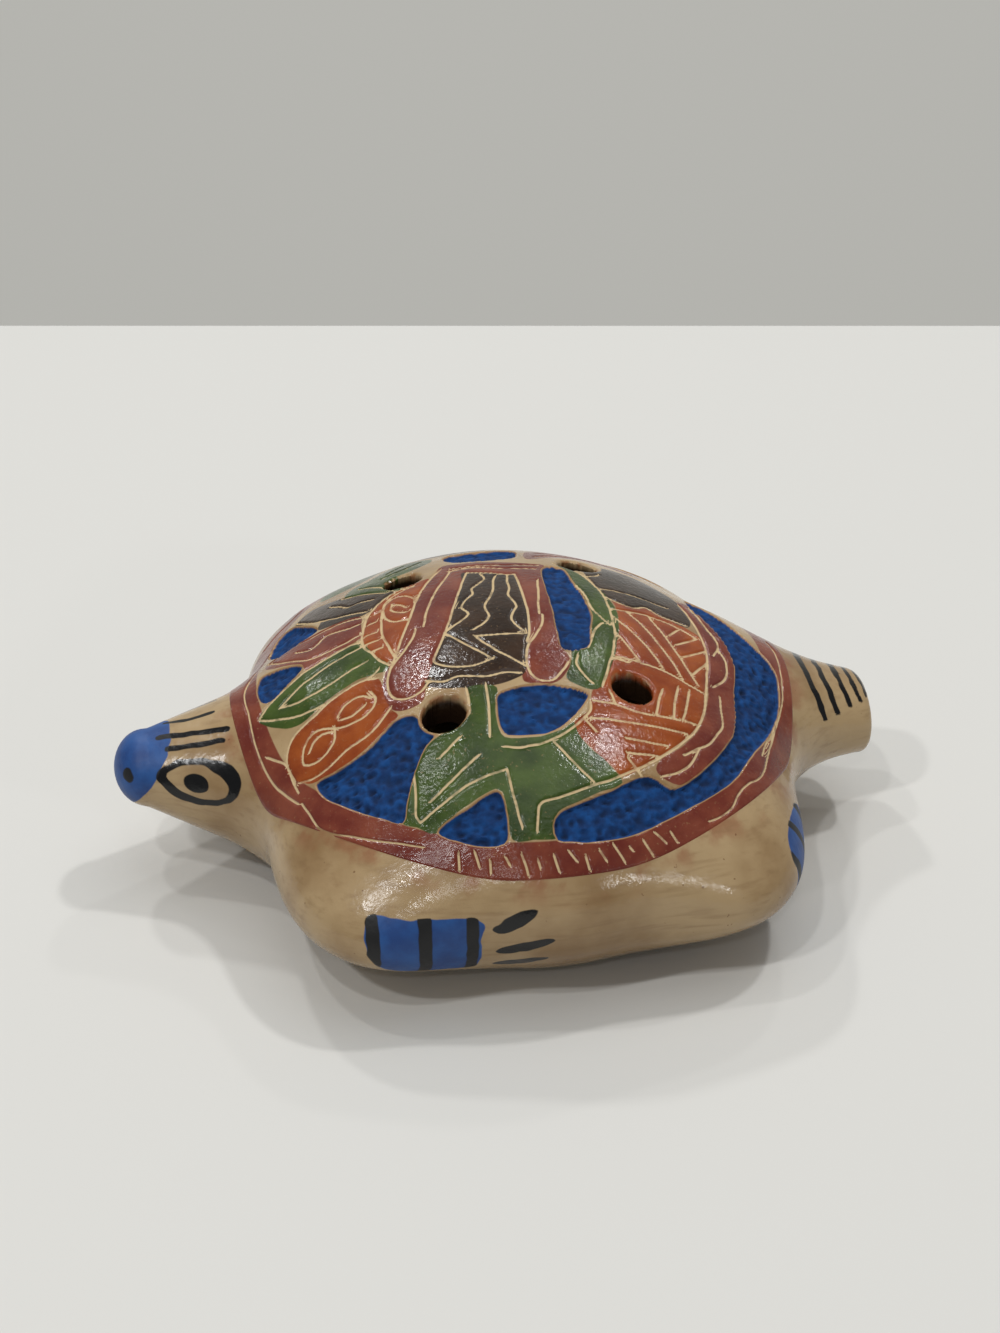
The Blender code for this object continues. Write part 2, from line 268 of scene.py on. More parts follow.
ORANGE = [
    [(-6.6, 16), (-9, 15.6), (-11.4, 15), (-13.4, 13.6), (-15.4, 11.6), (-16.9, 9.2), (-18.1, 6.2),
     (-18.8, 3), (-18.8, 0), (-17.8, -2.6), (-16.4, -5.6), (-15, -4.4), (-13.4, -0.8), (-11.8, 3.4),
     (-10.2, 8), (-8.4, 12.4)],
    [(-32, -14.4), (-31.6, -12.2), (-30, -10.9), (-27.8, -10.1), (-25.8, -8.7), (-23.4, -7.7),
     (-20.8, -7.2), (-18.4, -7.8), (-17.7, -9.6), (-17.8, -12.6), (-17.2, -15.4), (-16.4, -16.9),
     (-18.4, -18.3), (-21, -19.7), (-23.6, -20.5), (-26.4, -20.6), (-29, -20), (-30.6, -18.2),
     (-31.8, -16.2)],
    [(18.6, 4.6), (21, 3.2), (23.6, 4.2), (26, 2), (28.6, -0.6), (30.4, -3), (30.2, -6), (29.4, -10),
     (28.4, -13.4), (27.2, -17.4), (25.6, -21.4), (23.4, -24.6), (20.8, -27), (17.8, -29.2), (14.6, -31.2),
     (11.6, -32.6), (10.4, -31.4), (8.6, -29.4), (7, -27), (6.6, -24.6), (8.8, -22.8), (9.8, -20.6),
     (10.4, -18.8), (12, -18), (13.8, -14.6), (15.4, -10.6), (16.8, -6.6), (18, -2), (18.5, 2)],
]
GREEN = [
    [(-12, 22), (-8, 23), (-5, 26), (-5, 29), (-9, 31), (-13, 27.6), (-15, 25)],
    [(-22, 27), (-17.6, 26.6), (-13.6, 29), (-11.6, 33), (-13, 36.4), (-17.6, 34.6), (-21, 31)],
    [(-35, -5.1), (-33, -3.2), (-30.4, -1.5), (-27.6, 0), (-24.6, 1.7), (-21.6, 2.7), (-19.2, 2.4),
     (-18.5, 0.2), (-17.7, -2.8), (-16.3, -5.8), (-16.6, -7.4), (-18.6, -7), (-21, -6.6), (-23.4, -7.2),
     (-26, -8.4), (-28.4, -9.8), (-30.6, -9.7), (-32.6, -8.2), (-34.2, -6.6)],
    [(-19, 21.6), (-16.6, 19), (-14.2, 16.4), (-12.6, 15), (-10.8, 15.2), (-10.2, 17.8), (-10.6, 20.6),
     (-12, 23.6), (-14.6, 25.6), (-17.2, 25)],
    [(-6.7, -15.9), (-3.2, -16.4), (-2.8, -17.8), (-3.6, -20.5), (-3.8, -23.4), (-3.2, -25.6),
     (-0.5, -26.3), (2, -26.3), (5, -25.4), (6.6, -24.4), (6.8, -26.4), (7.8, -28.6), (9.4, -30.3),
     (10.6, -32), (11.4, -33.6), (8, -34.8), (4, -36.1), (1.8, -36.9), (0.9, -38.3), (1.1, -39.8),
     (-2, -39.5), (-4.7, -39), (-4.9, -36), (-5, -33.2), (-5.8, -32.6), (-8.4, -33.2), (-11.4, -34.1),
     (-14.4, -35.6), (-16.6, -34), (-18.5, -32.7), (-17.6, -30.4), (-16.4, -27.6), (-14.8, -25.2),
     (-13, -23.3), (-11, -22.5), (-8.6, -21.8), (-7, -20.6), (-6.8, -18.4)],
    [(12.8, 17.4), (14.6, 16.2), (16, 13.6), (17, 10), (17.8, 6), (18.3, 2), (18, -2), (17, -6),
     (15.8, -9.8), (14.6, -13), (13.2, -15.6), (11.8, -18.2), (10.2, -18.8), (8.2, -17.8), (7.2, -16.6),
     (8, -14.4), (8.8, -12.6), (9.2, -10.8), (11.6, -10), (12.6, -8), (13.6, -4), (14.3, 0), (14.2, 5),
     (13.9, 11), (13.7, 15)],
]

# %% Scratches through the slip
SCRATCHES = [
    [(-1.3, 15.5), (-2.6, 11.6), (-4.4, 6), (-6.2, 0.8), (-7.6, -3), (-9, -6), (-10.2, -8.8), (-8.8, -10.4),
     (-7, -11.3), (-5.2, -11.7), (-3.5, -11.4), (-2.1, -10.9)],
    [(-1.3, 15.5), (2, 14), (4.3, 12.8), (5.5, 12.8)],
    [(5.5, 12.8), (5.4, 8), (5.1, 3), (4.7, -2), (4, -6), (3.3, -8.3)],
    [(0.6, 13.8), (0.8, 11.9), (-0.4, 10.2), (-1.7, 8.6), (-1.8, 6.8), (-3.2, 5), (-4.2, 2.8), (-3.6, 0.6),
     (-5.4, -1.2), (-7.6, -2.8)],
    [(2.6, 12.6), (1.7, 10), (1.2, 7.2), (0.4, 5), (-0.7, 3), (-1, 1), (-0.8, -0.8), (-1.8, -2.4),
     (-3.7, -3.7)],
    [(4.4, 12.6), (3.9, 10), (3.7, 7.4), (3, 5), (3.4, 2.8), (3.5, 0.8), (2.6, -0.8), (2.1, -2.6),
     (2.6, -4.4), (3.3, -5.8)],
    [(-3.7, -5.3), (3.4, -6.4)], [(-3.7, -5.3), (-2, -8.4), (1.9, -13.4)],
    [(-7.6, -3), (-5.4, -6.6), (-2.2, -11)],
    [(-11.6, -12.4), (-9.6, -13.5), (-7.6, -13.2), (-5.4, -13.9), (-3.4, -14.5), (-1.2, -14.2), (1, -14.8)],
    [(-4.6, 19.6), (-6.9, 15.6), (-8.8, 11.6), (-10.4, 7.4), (-12, 2.8), (-13.8, -1.6), (-15.2, -5.2),
     (-16.6, -8.4), (-17.1, -11.4), (-16.4, -13.6), (-14.6, -14.5), (-12.6, -13.9), (-11.4, -12.4)],
    [(-3.6, 17.2), (-5.4, 13.2), (-7.5, 8.4), (-9.3, 3.6), (-10.2, 0.4)],
    [(-11.4, 0.2), (-12.2, -2), (-14, -4.6), (-16, -7)], [(8.4, 9.8), (7.7, 5.8), (6.9, 1.8), (6.4, -1.4)],
    [(6.8, -1.8), (6.2, -4.2), (4.8, -6.8), (3.2, -9.3), (2.4, -12), (2.3, -14.6), (3.2, -16.5),
     (5.2, -16.8), (6.8, -15.2), (8.2, -13.2)],
    [(-3.7, 17.7), (0.5, 17.4), (4.4, 15.6), (9.1, 15.2)],
    [(-3.1, 18.8), (1.2, 18.3), (5.9, 17.2), (9.8, 17.2)],
    [(-9.4, 15), (-12, 14.6), (-14.6, 12.6), (-16.6, 9.8), (-18, 6.4), (-18.8, 3), (-18.9, 0.4), (-18, -2),
     (-17.2, -4.4), (-16.2, -6.2)],
    [(-9.4, 14.8), (-12, 13.6), (-13.9, 11.8), (-15, 8.6), (-15.7, 5), (-16, 1.4), (-15.6, -2),
     (-15.2, -4.8)],
    [(-12, 3.8), (-13.8, 4.3), (-14.8, 6), (-14.9, 8.4), (-14.2, 10.8), (-12.8, 12.1), (-11.2, 11.6),
     (-10.2, 9.6), (-10.3, 8.2)],
    [(-13.4, 9.6), (-13.8, 8.2), (-12.9, 6.7), (-11.8, 6)], [(-13.2, 9.7), (-12.1, 8.6), (-11.6, 7.4)],
    [(-16.2, 8.7), (-15.3, 9)], [(-17.4, 6.3), (-16.2, 6.3)], [(-18.3, 3.3), (-16.5, 3.2)],
    [(-18.5, 1), (-16.7, 0.8)], [(-17.7, -1.4), (-16.4, -1.5)],
    [(-34.9, -5.2), (-33, -3.3), (-30.2, -1.5), (-27.4, 0.1), (-24.6, 1.6), (-22, 2.5), (-20, 2.6),
     (-18.9, 1.6)],
    [(-31.8, -5.1), (-29.4, -3.4), (-26.6, -1.8), (-24, -0.2), (-21.4, 0.6), (-18.8, 0.9)],
    [(-31.8, -5.1), (-29.2, -5.9), (-26.6, -5.6), (-24, -4.6), (-21.4, -3.6), (-19, -3.3)],
    [(-34.8, -5.4), (-32.4, -6.9), (-29.8, -8.2), (-27.6, -8.6), (-26, -8.4)],
    [(-20, -7.3), (-18.6, -7), (-17.6, -6.2)],
    [(-31.6, 9.5), (-29, 10.4), (-26, 10.8), (-23, 11.1), (-20.4, 10.6), (-18, 9.4), (-17.2, 8.8)],
    [(-31.9, 9.4), (-30.8, 7.1), (-29, 5), (-27.4, 3.5), (-26, 3.2), (-23.4, 3.7), (-20.6, 4.1),
     (-18.8, 4.3)],
    [(-28, 7.2), (-26.2, 6.4), (-24.6, 7.6), (-23.4, 9), (-21.6, 8.5), (-20, 7.8), (-18.5, 7.6)],
    [(-26.3, 22), (-25.2, 18.9), (-23.7, 16.2), (-21.6, 13.9), (-19.2, 12.3), (-17, 10.9)],
    [(-21.4, 20.4), (-20.2, 18), (-19.2, 15.8), (-17.6, 15.6), (-15.6, 14.6)],
    [(-19.4, 21.4), (-17, 19.2), (-15, 17), (-13.4, 15.4)],
    [(-16.6, 22.8), (-14.8, 20.6), (-13.3, 18), (-12.4, 15.4)],
    [(-11.6, 21.4), (-11.2, 18.6), (-11.4, 15.8)],
    [(-31.2, -17.6), (-31.9, -14.6), (-31.7, -12.7), (-30.6, -11.2), (-28.6, -10.3), (-27, -9.6),
     (-25, -8.3), (-22.6, -7.4), (-20.2, -7.2), (-18.2, -8)],
    [(-19.4, -10.2), (-18.9, -11.8), (-19.4, -13.2), (-20.8, -14.2), (-22.8, -14.3), (-24.4, -13.9),
     (-25.8, -13), (-27.3, -12.4), (-28.9, -13), (-29.7, -14.6), (-29.8, -16.2), (-29, -16.9),
     (-27.6, -17.2), (-26.1, -16.4), (-25.2, -15.2), (-25, -13.4)],
    [(-28.8, -15), (-28.2, -14), (-26.8, -13.4), (-25.4, -13.9)],
    [(-24.4, -11.9), (-23.4, -10.6), (-22, -10), (-20.6, -10.3), (-19.7, -11.3)],
    [(-24.1, -12.6), (-22.3, -13), (-20.5, -12.2)],
    [(-30.6, -18.4), (-29, -19.2), (-27.4, -19.4), (-25.6, -18.9), (-24, -18.3), (-21.4, -17.9),
     (-19.4, -16.9), (-17.3, -14.9)],
    [(-4.1, -15.9), (-4.4, -20), (-4.8, -22.8), (-5.2, -24.9)], [(-6.8, -16), (-6.9, -18.6)],
    [(-15.9, -27), (-16.2, -29.8), (-16.6, -32.6), (-16.2, -33.5), (-13.8, -32.6), (-11.4, -31.7),
     (-8.8, -30.9), (-6.2, -30.5), (-3.9, -30.3)],
    [(-3.9, -30.3), (-3.7, -33), (-3.5, -35.6), (-3.2, -37.9)],
    [(-14.4, -31.4), (-11.4, -29.8), (-8.8, -28.3), (-7.2, -27.4)], [(-12.4, -26), (-9, -23.9)],
    [(-3.6, -27), (-1.6, -27.5), (1, -27.5), (3.4, -26.8), (5.6, -25.7), (7.6, -24.3), (9.2, -22.6),
     (9.7, -20.9)],
    [(3.2, -27.3), (4.7, -29.7), (6.3, -32), (7.5, -33.5)],
    [(-1.3, -38.7), (-0.8, -36.4), (0, -35.4), (2.4, -35.1), (5, -34.5), (8, -33.7), (11, -32.7),
     (13.6, -31.5), (16.2, -30.2), (18.8, -28.4), (21.2, -26.5), (23.4, -24.4), (25.2, -21.9), (26.6, -19),
     (27.6, -15.8), (28.6, -12.4), (29.6, -9), (30.3, -5), (30.4, -1), (30.2, 3.6), (29.9, 8.4)],
    [(12.7, 18.4), (14.4, 16.3), (15.9, 13.6), (17, 9.6), (17.5, 5), (17.4, 1), (17, -3), (16.2, -7.4),
     (14.9, -11.2), (13.4, -14.8), (12, -18)],
    [(14.1, 8.4), (14.6, 4.4), (14.6, 1), (15.4, -1.6), (16.3, -3.6)],
    [(15.2, -3.4), (13.8, -5.3), (12.7, -7.8), (11.8, -9.8)],
    [(9.9, -11.6), (9.2, -13.6), (9.7, -15.7), (10.7, -17.5)],
    [(17.4, 5.6), (19.2, 4), (21.4, 2.9), (23.6, 4), (25.2, 2.2), (27.2, 1.2), (28.8, 0.3)],
    [(17.6, 1.3), (20.6, 1.2), (23.2, 1.2), (25.4, 0.4), (27.6, -1), (29.5, -3)],
    [(17.4, -1), (19.2, -4.6), (21, -8.6), (22.2, -13)],
    [(19.9, 1.2), (21.4, -2.1), (22.8, -6.4), (24, -10.8), (24.6, -14)],
    [(23.2, 1.2), (24.2, -2.8), (25.1, -7.1), (25.9, -10.7), (26.8, -14.3)],
    [(16.7, -5.4), (17.8, -8.6), (18.9, -12.3)], [(25.3, -3.5), (27.1, -1.4)], [(25.7, -5.7), (29.5, -3.2)],
    [(26, -8.6), (30, -6)], [(26.6, -12.2), (29.6, -8.7)],
    [(15.4, -11.4), (19.2, -12.3), (22.2, -13.2), (24.8, -14.6), (27.1, -15.6)],
    [(14.9, -11.8), (17, -12.6)], [(20.8, -17.3), (19.7, -19.7), (18.7, -22.3)],
    [(23.5, -16), (22, -19.7), (21.2, -22.5)], [(25, -16.2), (23.7, -19.7), (22.5, -22.5)],
    [(10.3, -20.7), (13, -21.2), (15.7, -22.2), (18.7, -22.5), (21.4, -22.5), (24.2, -22.4)],
    [(9, -23.8), (13, -24.1), (17, -24.4), (22.6, -24.6)], [(13.4, -26.9), (16.4, -27.2), (19.2, -27.3)],
    [(13, -29.2), (17.6, -29.2)], [(13, -30), (14.3, -32.4)], [(12.8, -18.7), (13.2, -20.8)],
    [(8.2, -24), (9.3, -26)], [(17.2, -32), (19.4, -31.2), (21.4, -29.9), (22.8, -28.2), (24, -26.4)],
    [(21.3, -28.2), (23.4, -26.8), (25.6, -25.3), (27.6, -22.8), (28.8, -21), (29.2, -18.6), (29.8, -15.4)],
    [(29.3, -13.6), (31.2, -11.9), (32.4, -9.6), (32.8, -6.8), (32.2, -5)],
    [(31.2, -6.6), (32.4, -4.6), (32.6, -2.2), (32, 0.6), (31.7, 4.4), (31.4, 8)],
    [(17.4, 8.3), (20.6, 8.2), (23.8, 7.3), (27.2, 5.8)], [(16.3, 13), (17.8, 13.8), (18.9, 15)],
    [(-29.8, 19.4), (-32, 15), (-33.4, 11.2), (-34.9, 7), (-36, 3.4), (-36.4, 0.4), (-36.2, -3), (-36, -7),
     (-35.4, -10.8), (-34.2, -14.6), (-32.9, -17.6), (-31.2, -21.2)],
    [(-34.5, -11.2), (-32.9, -13), (-31.9, -14.6), (-31.5, -17.2), (-31, -19.6)],
    [(-30.8, -21.6), (-30, -24.4), (-29.1, -27.1), (-27.6, -29.2), (-25.4, -31), (-23, -32.8),
     (-20.4, -34.4), (-16.4, -36.5)],
    [(22.8, -36.9), (24.6, -36), (26.6, -34.4), (28.2, -32), (30.2, -29.8), (32.4, -27.9), (34, -25.2),
     (35.2, -22.4), (36.6, -19.4), (38.2, -16), (39.8, -12.8), (41.2, -9.4), (42, -5.4), (42.5, -1),
     (42.2, 3)],
    [(34.2, -23), (35.6, -20), (37.2, -17.6), (38.6, -14.4)], [(-13, 23.6), (-9, 25.4), (-6.4, 28)],
    [(-12, 25.6), (-9, 28.6)], [(10.6, 23), (15, 25), (20, 25), (25.4, 21.6)],
    [(11.4, 26.4), (16, 27.4), (20.6, 26)],
    [(-7, 35), (-4, 32.6), (-1, 35.6), (2, 32.6), (5, 35.6), (7.6, 34)], [(-7, 37), (0, 38), (7.6, 36.6)],
]


def on_ring(turn, share=0.5):
    """A place on the red ring, turn degrees round from the tail, share of the way across."""
    a = math.radians(turn)
    across = [i + (o - i) * share for i, o in zip(RING_INNER, RING_OUTER)]
    return MIDDLE_X + across[0] * math.cos(a), across[1] * math.sin(a)


# A row of plain slanting ticks along the front of the ring, and a loose wave round the back.
for k in range(15):
    turn, low, high = -112 + 3.1 * k, (0.3, 0.2, 0.4)[k % 3], (0.8, 0.62, 0.74, 0.5)[k % 4]
    SCRATCHES.append([on_ring(turn, low), on_ring(turn + 0.8 + 0.5 * math.sin(2.1 * k), high)])
SCRATCHES.append([on_ring(8 + 4 * k, 0.5 + 0.22 * math.sin(k * 1.3)) for k in range(36)])
print(len(BLUE + BROWN + RED + ORANGE + GREEN), "figures,", len(SCRATCHES), "scratches")

# %% Measuring a place against the drawing


def curve(points, closed=False, step=0.8):
    """A smooth line through every point."""
    p = np.array(points, float)
    if len(p) == 2:
        return p
    ends = (p[-1:], p[:2]) if closed else (2 * p[:1] - p[1], 2 * p[-1:] - p[-2])
    p = np.vstack([ends[0], p, ends[1]])
    out = []
    for before, a, b, after in zip(p, p[1:], p[2:], p[3:]):
        count = max(1, round(float(np.linalg.norm(b - a)) / step))
        t = (np.arange(count) / count)[:, None]
        bend = 2 * before - 5 * a + 4 * b - after + t * (3 * (a - b) + after - before)
        out.append(a + 0.5 * t * (b - before + t * bend))
    return np.vstack(out + [p[1] if closed else p[-2]])


def beyond(p, oval):
    """How far places of the plan lie outside an oval round the middle."""
    return (np.linalg.norm((p[:, :2] - (MIDDLE_X, 0)) / oval, axis=1) - 1) * sum(oval) / 2


def unroll(p):
    """Plan places moved out near the rim, where the clay slopes away, so that lengths stay true."""
    out = p - (MIDDLE_X, 0)
    share = np.minimum(np.linalg.norm(out / RING_OUTER, axis=-1, keepdims=True), 1.1)
    return p + out * 0.11 * share**7


FAR = 9.0  # what a mark reads wherever it's too far away to matter


def distance(p, line, filled=False, sided=False):
    """How far each place is from a line, or from the edge of a filled figure, negative inside.
    A sided line counts as negative to its right, so that it stays thin between two places of the net."""
    out = np.full(len(p), FAR)
    near = np.all((p > line.min(0) - 3) & (p < line.max(0) + 3), axis=1)
    q = p[near]
    best = np.full(len(q), FAR**2)
    inside = np.zeros(len(q), bool)
    for a, b in zip(line, line[1:]):
        edge = b - a
        away = q - a
        t = np.clip(away @ edge / max(edge @ edge, 1e-9), 0, 1)
        here = ((away - t[:, None] * edge) ** 2).sum(1)
        if sided:
            inside = np.where(here < best, edge[0] * away[:, 1] < edge[1] * away[:, 0], inside)
        best = np.minimum(best, here)
        if filled and a[1] != b[1]:
            crosses = (a[1] > q[:, 1]) != (b[1] > q[:, 1])
            inside ^= crosses & (q[:, 0] < a[0] + (q[:, 1] - a[1]) * edge[0] / edge[1])
    best = np.sqrt(best)
    out[near] = np.where(inside, -best, best)
    return out


def nearest(p, lines, filled=True):
    """The lowest value over filled figures, or the value of the closest of several scratches."""
    out = np.full(len(p), FAR)
    for line in lines:
        found = distance(p, unroll(curve(line, closed=filled)), filled, sided=not filled)
        out = np.minimum(out, found) if filled else np.where(np.abs(found) < np.abs(out), found, out)
    return out


# %% [markdown]
# ## The carapace
# On the real flute this is one pinched bowl turned over. A square net pulled round into the oval of
# the ring gives even cells of about a quarter of a millimetre, fine enough to carve the scratches,
# the sunken blue grounds and their tool marks as real depth rather than as a picture of it.

# %% The net of the carapace
NET = 288
CROWDING = math.radians(72)  # rows lie closer together towards the steep rim
steps = np.linspace(-1, 1, NET + 1)
u, v = np.meshgrid(steps, steps, indexing="ij")
wide = np.abs(u) > np.abs(v)
safe_u, safe_v = np.where(u == 0, 1, u), np.where(v == 0, 1, v)
reach = np.where(wide, u, v)
angle = np.where(wide, math.pi / 4 * v / safe_u, math.pi / 2 - math.pi / 4 * u / safe_v)
spread = np.sin(CROWDING * reach) / math.sin(CROWDING)
plan = np.stack([np.cos(angle), np.sin(angle)], -1) * spread[..., None] * RING_OUTER + (MIDDLE_X, 0)
plan = plan.reshape(-1, 2)
points = np.column_stack([plan, drop_on_skin(plan[:, 0], plan[:, 1])])
normals = skin_normal(points)
print(len(points), "places on the carapace")

# %% How deep each place is carved
HOLES = [(-10.5, -19.2, 3.1), (-10.5, 18.5, 2.9), (16.3, -17.8, 2.9), (16.3, 18.5, 3.0)]
SCRATCH_DEPTH, GROUND_DEPTH, GOUGE_DEPTH = 0.2, 0.4, 0.5
LIP = 0.5  # how far the edge of a finger hole is rounded over


def from_hole(p):
    """Distance in the plan from the edge of the nearest finger hole, each given as x, y and radius."""
    return np.min([np.hypot(p[:, 0] - x, p[:, 1] - y) - r for x, y, r in HOLES], axis=0)


def carapace_marks(p):
    """Every pigment's distance, and the scratches' and the finger holes', for places on the carapace."""
    place = unroll(p[:, :2]) + 0.16 * np.stack([noise(p, 1.6, 5) - 0.5, noise(p, 1.6, 9) - 0.5], -1)
    ring = beyond(p, RING_INNER) + RING_OVERLAP
    hole = from_hole(p)
    scratch = nearest(place, SCRATCHES, filled=False)
    return {
        "red": np.minimum(-ring, nearest(place, RED)),
        "orange": nearest(place, ORANGE),
        "brown": nearest(place, BROWN),
        "green": nearest(place, GREEN),
        "blue": np.maximum(nearest(place, BLUE), 0.45 - hole),
        "scratch": scratch,
        "near": np.abs(scratch),
        "hole": np.minimum(hole, FAR),
    }


paint = carapace_marks(points)
to_rim = -beyond(plan, RING_OUTER)
ground = smooth_step(-paint["blue"], -0.05, 0.4)
gouges = 1.6 * np.abs(noise(points * (1, 1.6, 1), 1.15, 2) - 0.5) + 0.7 * noise(points, 0.6, 4)
# How deep each gouge goes; the finish darkens the blue by this as painted shade in the gouges.
paint["deep"] = ground * gouges
carve = 0.1 + 0.1 * (noise(points, 5, 1) - 0.5)
carve -= ground * (GROUND_DEPTH + GOUGE_DEPTH * gouges)
carve -= SCRATCH_DEPTH * (1 - smooth_step(paint["near"], 0.08, 0.36)) * (1 - ground)
carve = np.where(to_rim < 0.35, -0.05, carve)
inward = np.clip(1 - paint["hole"] / LIP, 0, 1)
points = points + normals * carve[:, None]
points[:, 2] -= LIP * (1 - np.sqrt(np.clip(1 - inward**2, 0, 1)))
print(f"carved from {carve.min():.2f} to {carve.max():.2f} mm")

# %% Closing the carapace with its inside
index = np.arange((NET + 1) ** 2).reshape(NET + 1, NET + 1)
quads = np.stack([index[:-1, :-1], index[1:, :-1], index[1:, 1:], index[:-1, 1:]], -1).reshape(-1, 4)
rim = np.concatenate([index[:-1, 0], index[-1, :-1], index[:0:-1, -1], index[0, :0:-1]])
INNER = (HALF_LENGTH - WALL, HALF_WIDTH - WALL)


def inner_rings(turns, up, rows=15):
    """The inside of a shell, from the joint to its middle, up into the dome or down into the bowl."""
    out = []
    for k in range(rows):
        a = math.pi / 2 * k / rows
        power = 2 / FULLNESS if up else 1
        share, rise = math.cos(a) ** power, (RISE - WALL) * math.sin(a) ** power
        z = JOINT_Z + 0.15 + rise if up else max(JOINT_Z - 0.15 - rise, WALL)
        x, y = MIDDLE_X + INNER[0] * share * np.cos(turns), INNER[1] * share * np.sin(turns)
        out.append(np.column_stack([x, y, np.full(len(turns), z)]))
    out.append(np.array([[MIDDLE_X, 0, out[-1][0, 2]]]))
    return np.vstack(out)


def inner_faces(outer, first, count, rows=15):
    """Faces from an outer loop of places in to the inside rings, which have fewer places round."""
    per = len(outer) // count
    faces = []
    for j in range(count):
        here, there = first + j, first + (j + 1) % count
        for k in range(per):
            faces.append((outer[j * per + k], outer[(j * per + k + 1) % len(outer)], here))
        faces.append((here, outer[(j + 1) * per % len(outer)], there))
    for row in range(rows - 1):
        for j in range(count):
            a, b = first + row * count + j, first + row * count + (j + 1) % count
            faces.append((a, b, b + count, a + count))
    for j in range(count):
        a, b = first + (rows - 1) * count + j, first + (rows - 1) * count + (j + 1) % count
        faces.append((a, b, first + rows * count))
    return faces


INSIDE = {"hole": -3.0, "deep": 0.0}  # what a mark reads on the inner wall, where nothing is drawn; there the hole mark paints the wall near black as painted shade


def piece(name, coords, faces, marks=None):
    """A mesh object in metres, with one number per place for each kind of mark."""
    mesh = bpy.data.meshes.new(name)
    mesh.from_pydata((np.asarray(coords) * MM).tolist(), [], [tuple(map(int, f)) for f in faces])
    for key, values in (marks or {}).items():
        full = np.full(len(coords), INSIDE.get(key, FAR), np.float32)
        full[: len(values)] = values
        mesh.attributes.new(key, "FLOAT", "POINT").data.foreach_set("value", full)
    mesh.polygons.foreach_set("use_smooth", [True] * len(mesh.polygons))
    obj = bpy.data.objects.new(name, mesh)
    bpy.context.scene.collection.objects.link(obj)
    return obj


turns = -0.75 * math.pi + 2 * math.pi * np.arange(NET) / NET  # from the first corner of the net
inside = inner_rings(turns, up=True)
faces = quads.tolist() + [tuple(f[::-1]) for f in inner_faces(rim, len(points), NET)]
carapace = piece("painted_carapace", np.vstack([points, inside]), faces, paint)
print("carapace", len(faces), "faces")


# %% [markdown]
# ## Punching and cutting
# The potter punches the finger holes with a round stick and pushes a flat stick through the tail.
# Here each is a solid taken away from the clay, which leaves true walls to look into.

# %% Cutting tools


def clean(obj):
    """Turn every face of a closed piece outwards."""
    bm = bmesh.new()
    bm.from_mesh(obj.data)
    bmesh.ops.recalc_face_normals(bm, faces=bm.faces[:])
    bm.to_mesh(obj.data)
    bm.free()
    return obj


def prism(outline, low, high, upright=True):
    """Places and faces of a solid with one outline, drawn in plan, or in side view if not upright."""
    n = len(outline)
    coords = [(a, b, level) if upright else (a, level, b) for level in (low, high) for a, b in outline]
    sides = [(k, (k + 1) % n, n + (k + 1) % n, n + k) for k in range(n)]
    return coords, [tuple(range(n)), tuple(range(n, 2 * n))] + sides


def take_away(obj, tools):
    """Cut the tools out of a piece, and keep the marks far from the new walls."""
    coords, faces = [], []
    for places, sides in tools:
        faces += [tuple(i + len(coords) for i in side) for side in sides]
        coords += places
    keys = [a.name for a in obj.data.attributes if a.data_type == "FLOAT" and a.domain == "POINT"]
    tool = clean(piece("cut_" + obj.name, coords, faces, {k: [] for k in keys}))
    tool.data.shade_flat()
    cut = obj.modifiers.new("cut", "BOOLEAN")
    cut.operation, cut.solver, cut.object = "DIFFERENCE", "MANIFOLD", tool
    graph = bpy.context.evaluated_depsgraph_get()
    mesh = bpy.data.meshes.new_from_object(obj.evaluated_get(graph), depsgraph=graph)
    obj.modifiers.clear()
    obj.data = mesh
    bpy.data.objects.remove(tool)
    return obj


# %% Punching the finger holes


def places_of(obj):
    """Every place of a piece, in millimetres."""
    co = np.empty(len(obj.data.vertices) * 3, np.float32)
    obj.data.vertices.foreach_get("co", co)
    return co.reshape(-1, 3).astype(float) / MM


circle = [(math.cos(2 * math.pi * k / 72), math.sin(2 * math.pi * k / 72)) for k in range(72)]
punches = [prism([(x + r * c, y + r * s) for c, s in circle], 17, 45) for x, y, r in HOLES]
clean(carapace)
take_away(carapace, punches)
co = places_of(carapace)
edge = np.flatnonzero(np.abs(from_hole(co)) < 0.02)
redone = carapace_marks(co[edge])
redone["deep"] = 0 * redone["hole"]
# Hole walls deep in the clay take the inside value, which paints them near black as painted shade.
redone["hole"] = np.where(skin(co[edge]) < -1.6, INSIDE["hole"], -0.02)
for key, values in redone.items():
    data = carapace.data.attributes[key].data
    for i, value in zip(edge, values):
        data[int(i)].value = value
carapace.data.set_sharp_from_angle(angle=math.radians(50))
print("carapace after punching", len(carapace.data.polygons), "faces,", len(edge), "places round the holes")

# %% [markdown]
# ## The bowl, head, legs and tail
# Below the ring everything is one cream skin. It's laid out as columns that run from the ring down
# round the side to the middle of the belly, closer together at the head and tail, where the eyes and
# stripes are painted. Blocks of columns are then handed out to the limbs, so that neighbours share
# every place along their joint and the joint stays as hidden as on the real clay.

# %% Columns round the flute
COLUMNS, SIDE_ROWS, BELLY_ROWS = 900, 84, 14
fine = np.radians(np.linspace(0, 360, 7201))
off_tail = np.abs((np.degrees(fine) + 180) % 360 - 180)
at_tail, at_head = (np.exp(-((off / 11) ** 4)) for off in (off_tail, 180 - off_tail))
density = 1 + 2.0 * at_tail + 2.4 * at_head
total = np.concatenate([[0], np.cumsum((density[1:] + density[:-1]) / 2)])
azimuth = np.interp(np.arange(COLUMNS) / COLUMNS, total / total[-1], fine)


def oval_radius(turns, axes):
    """How far an oval reaches each way."""
    return 1 / np.hypot(np.cos(turns) / axes[0], np.sin(turns) / axes[1])


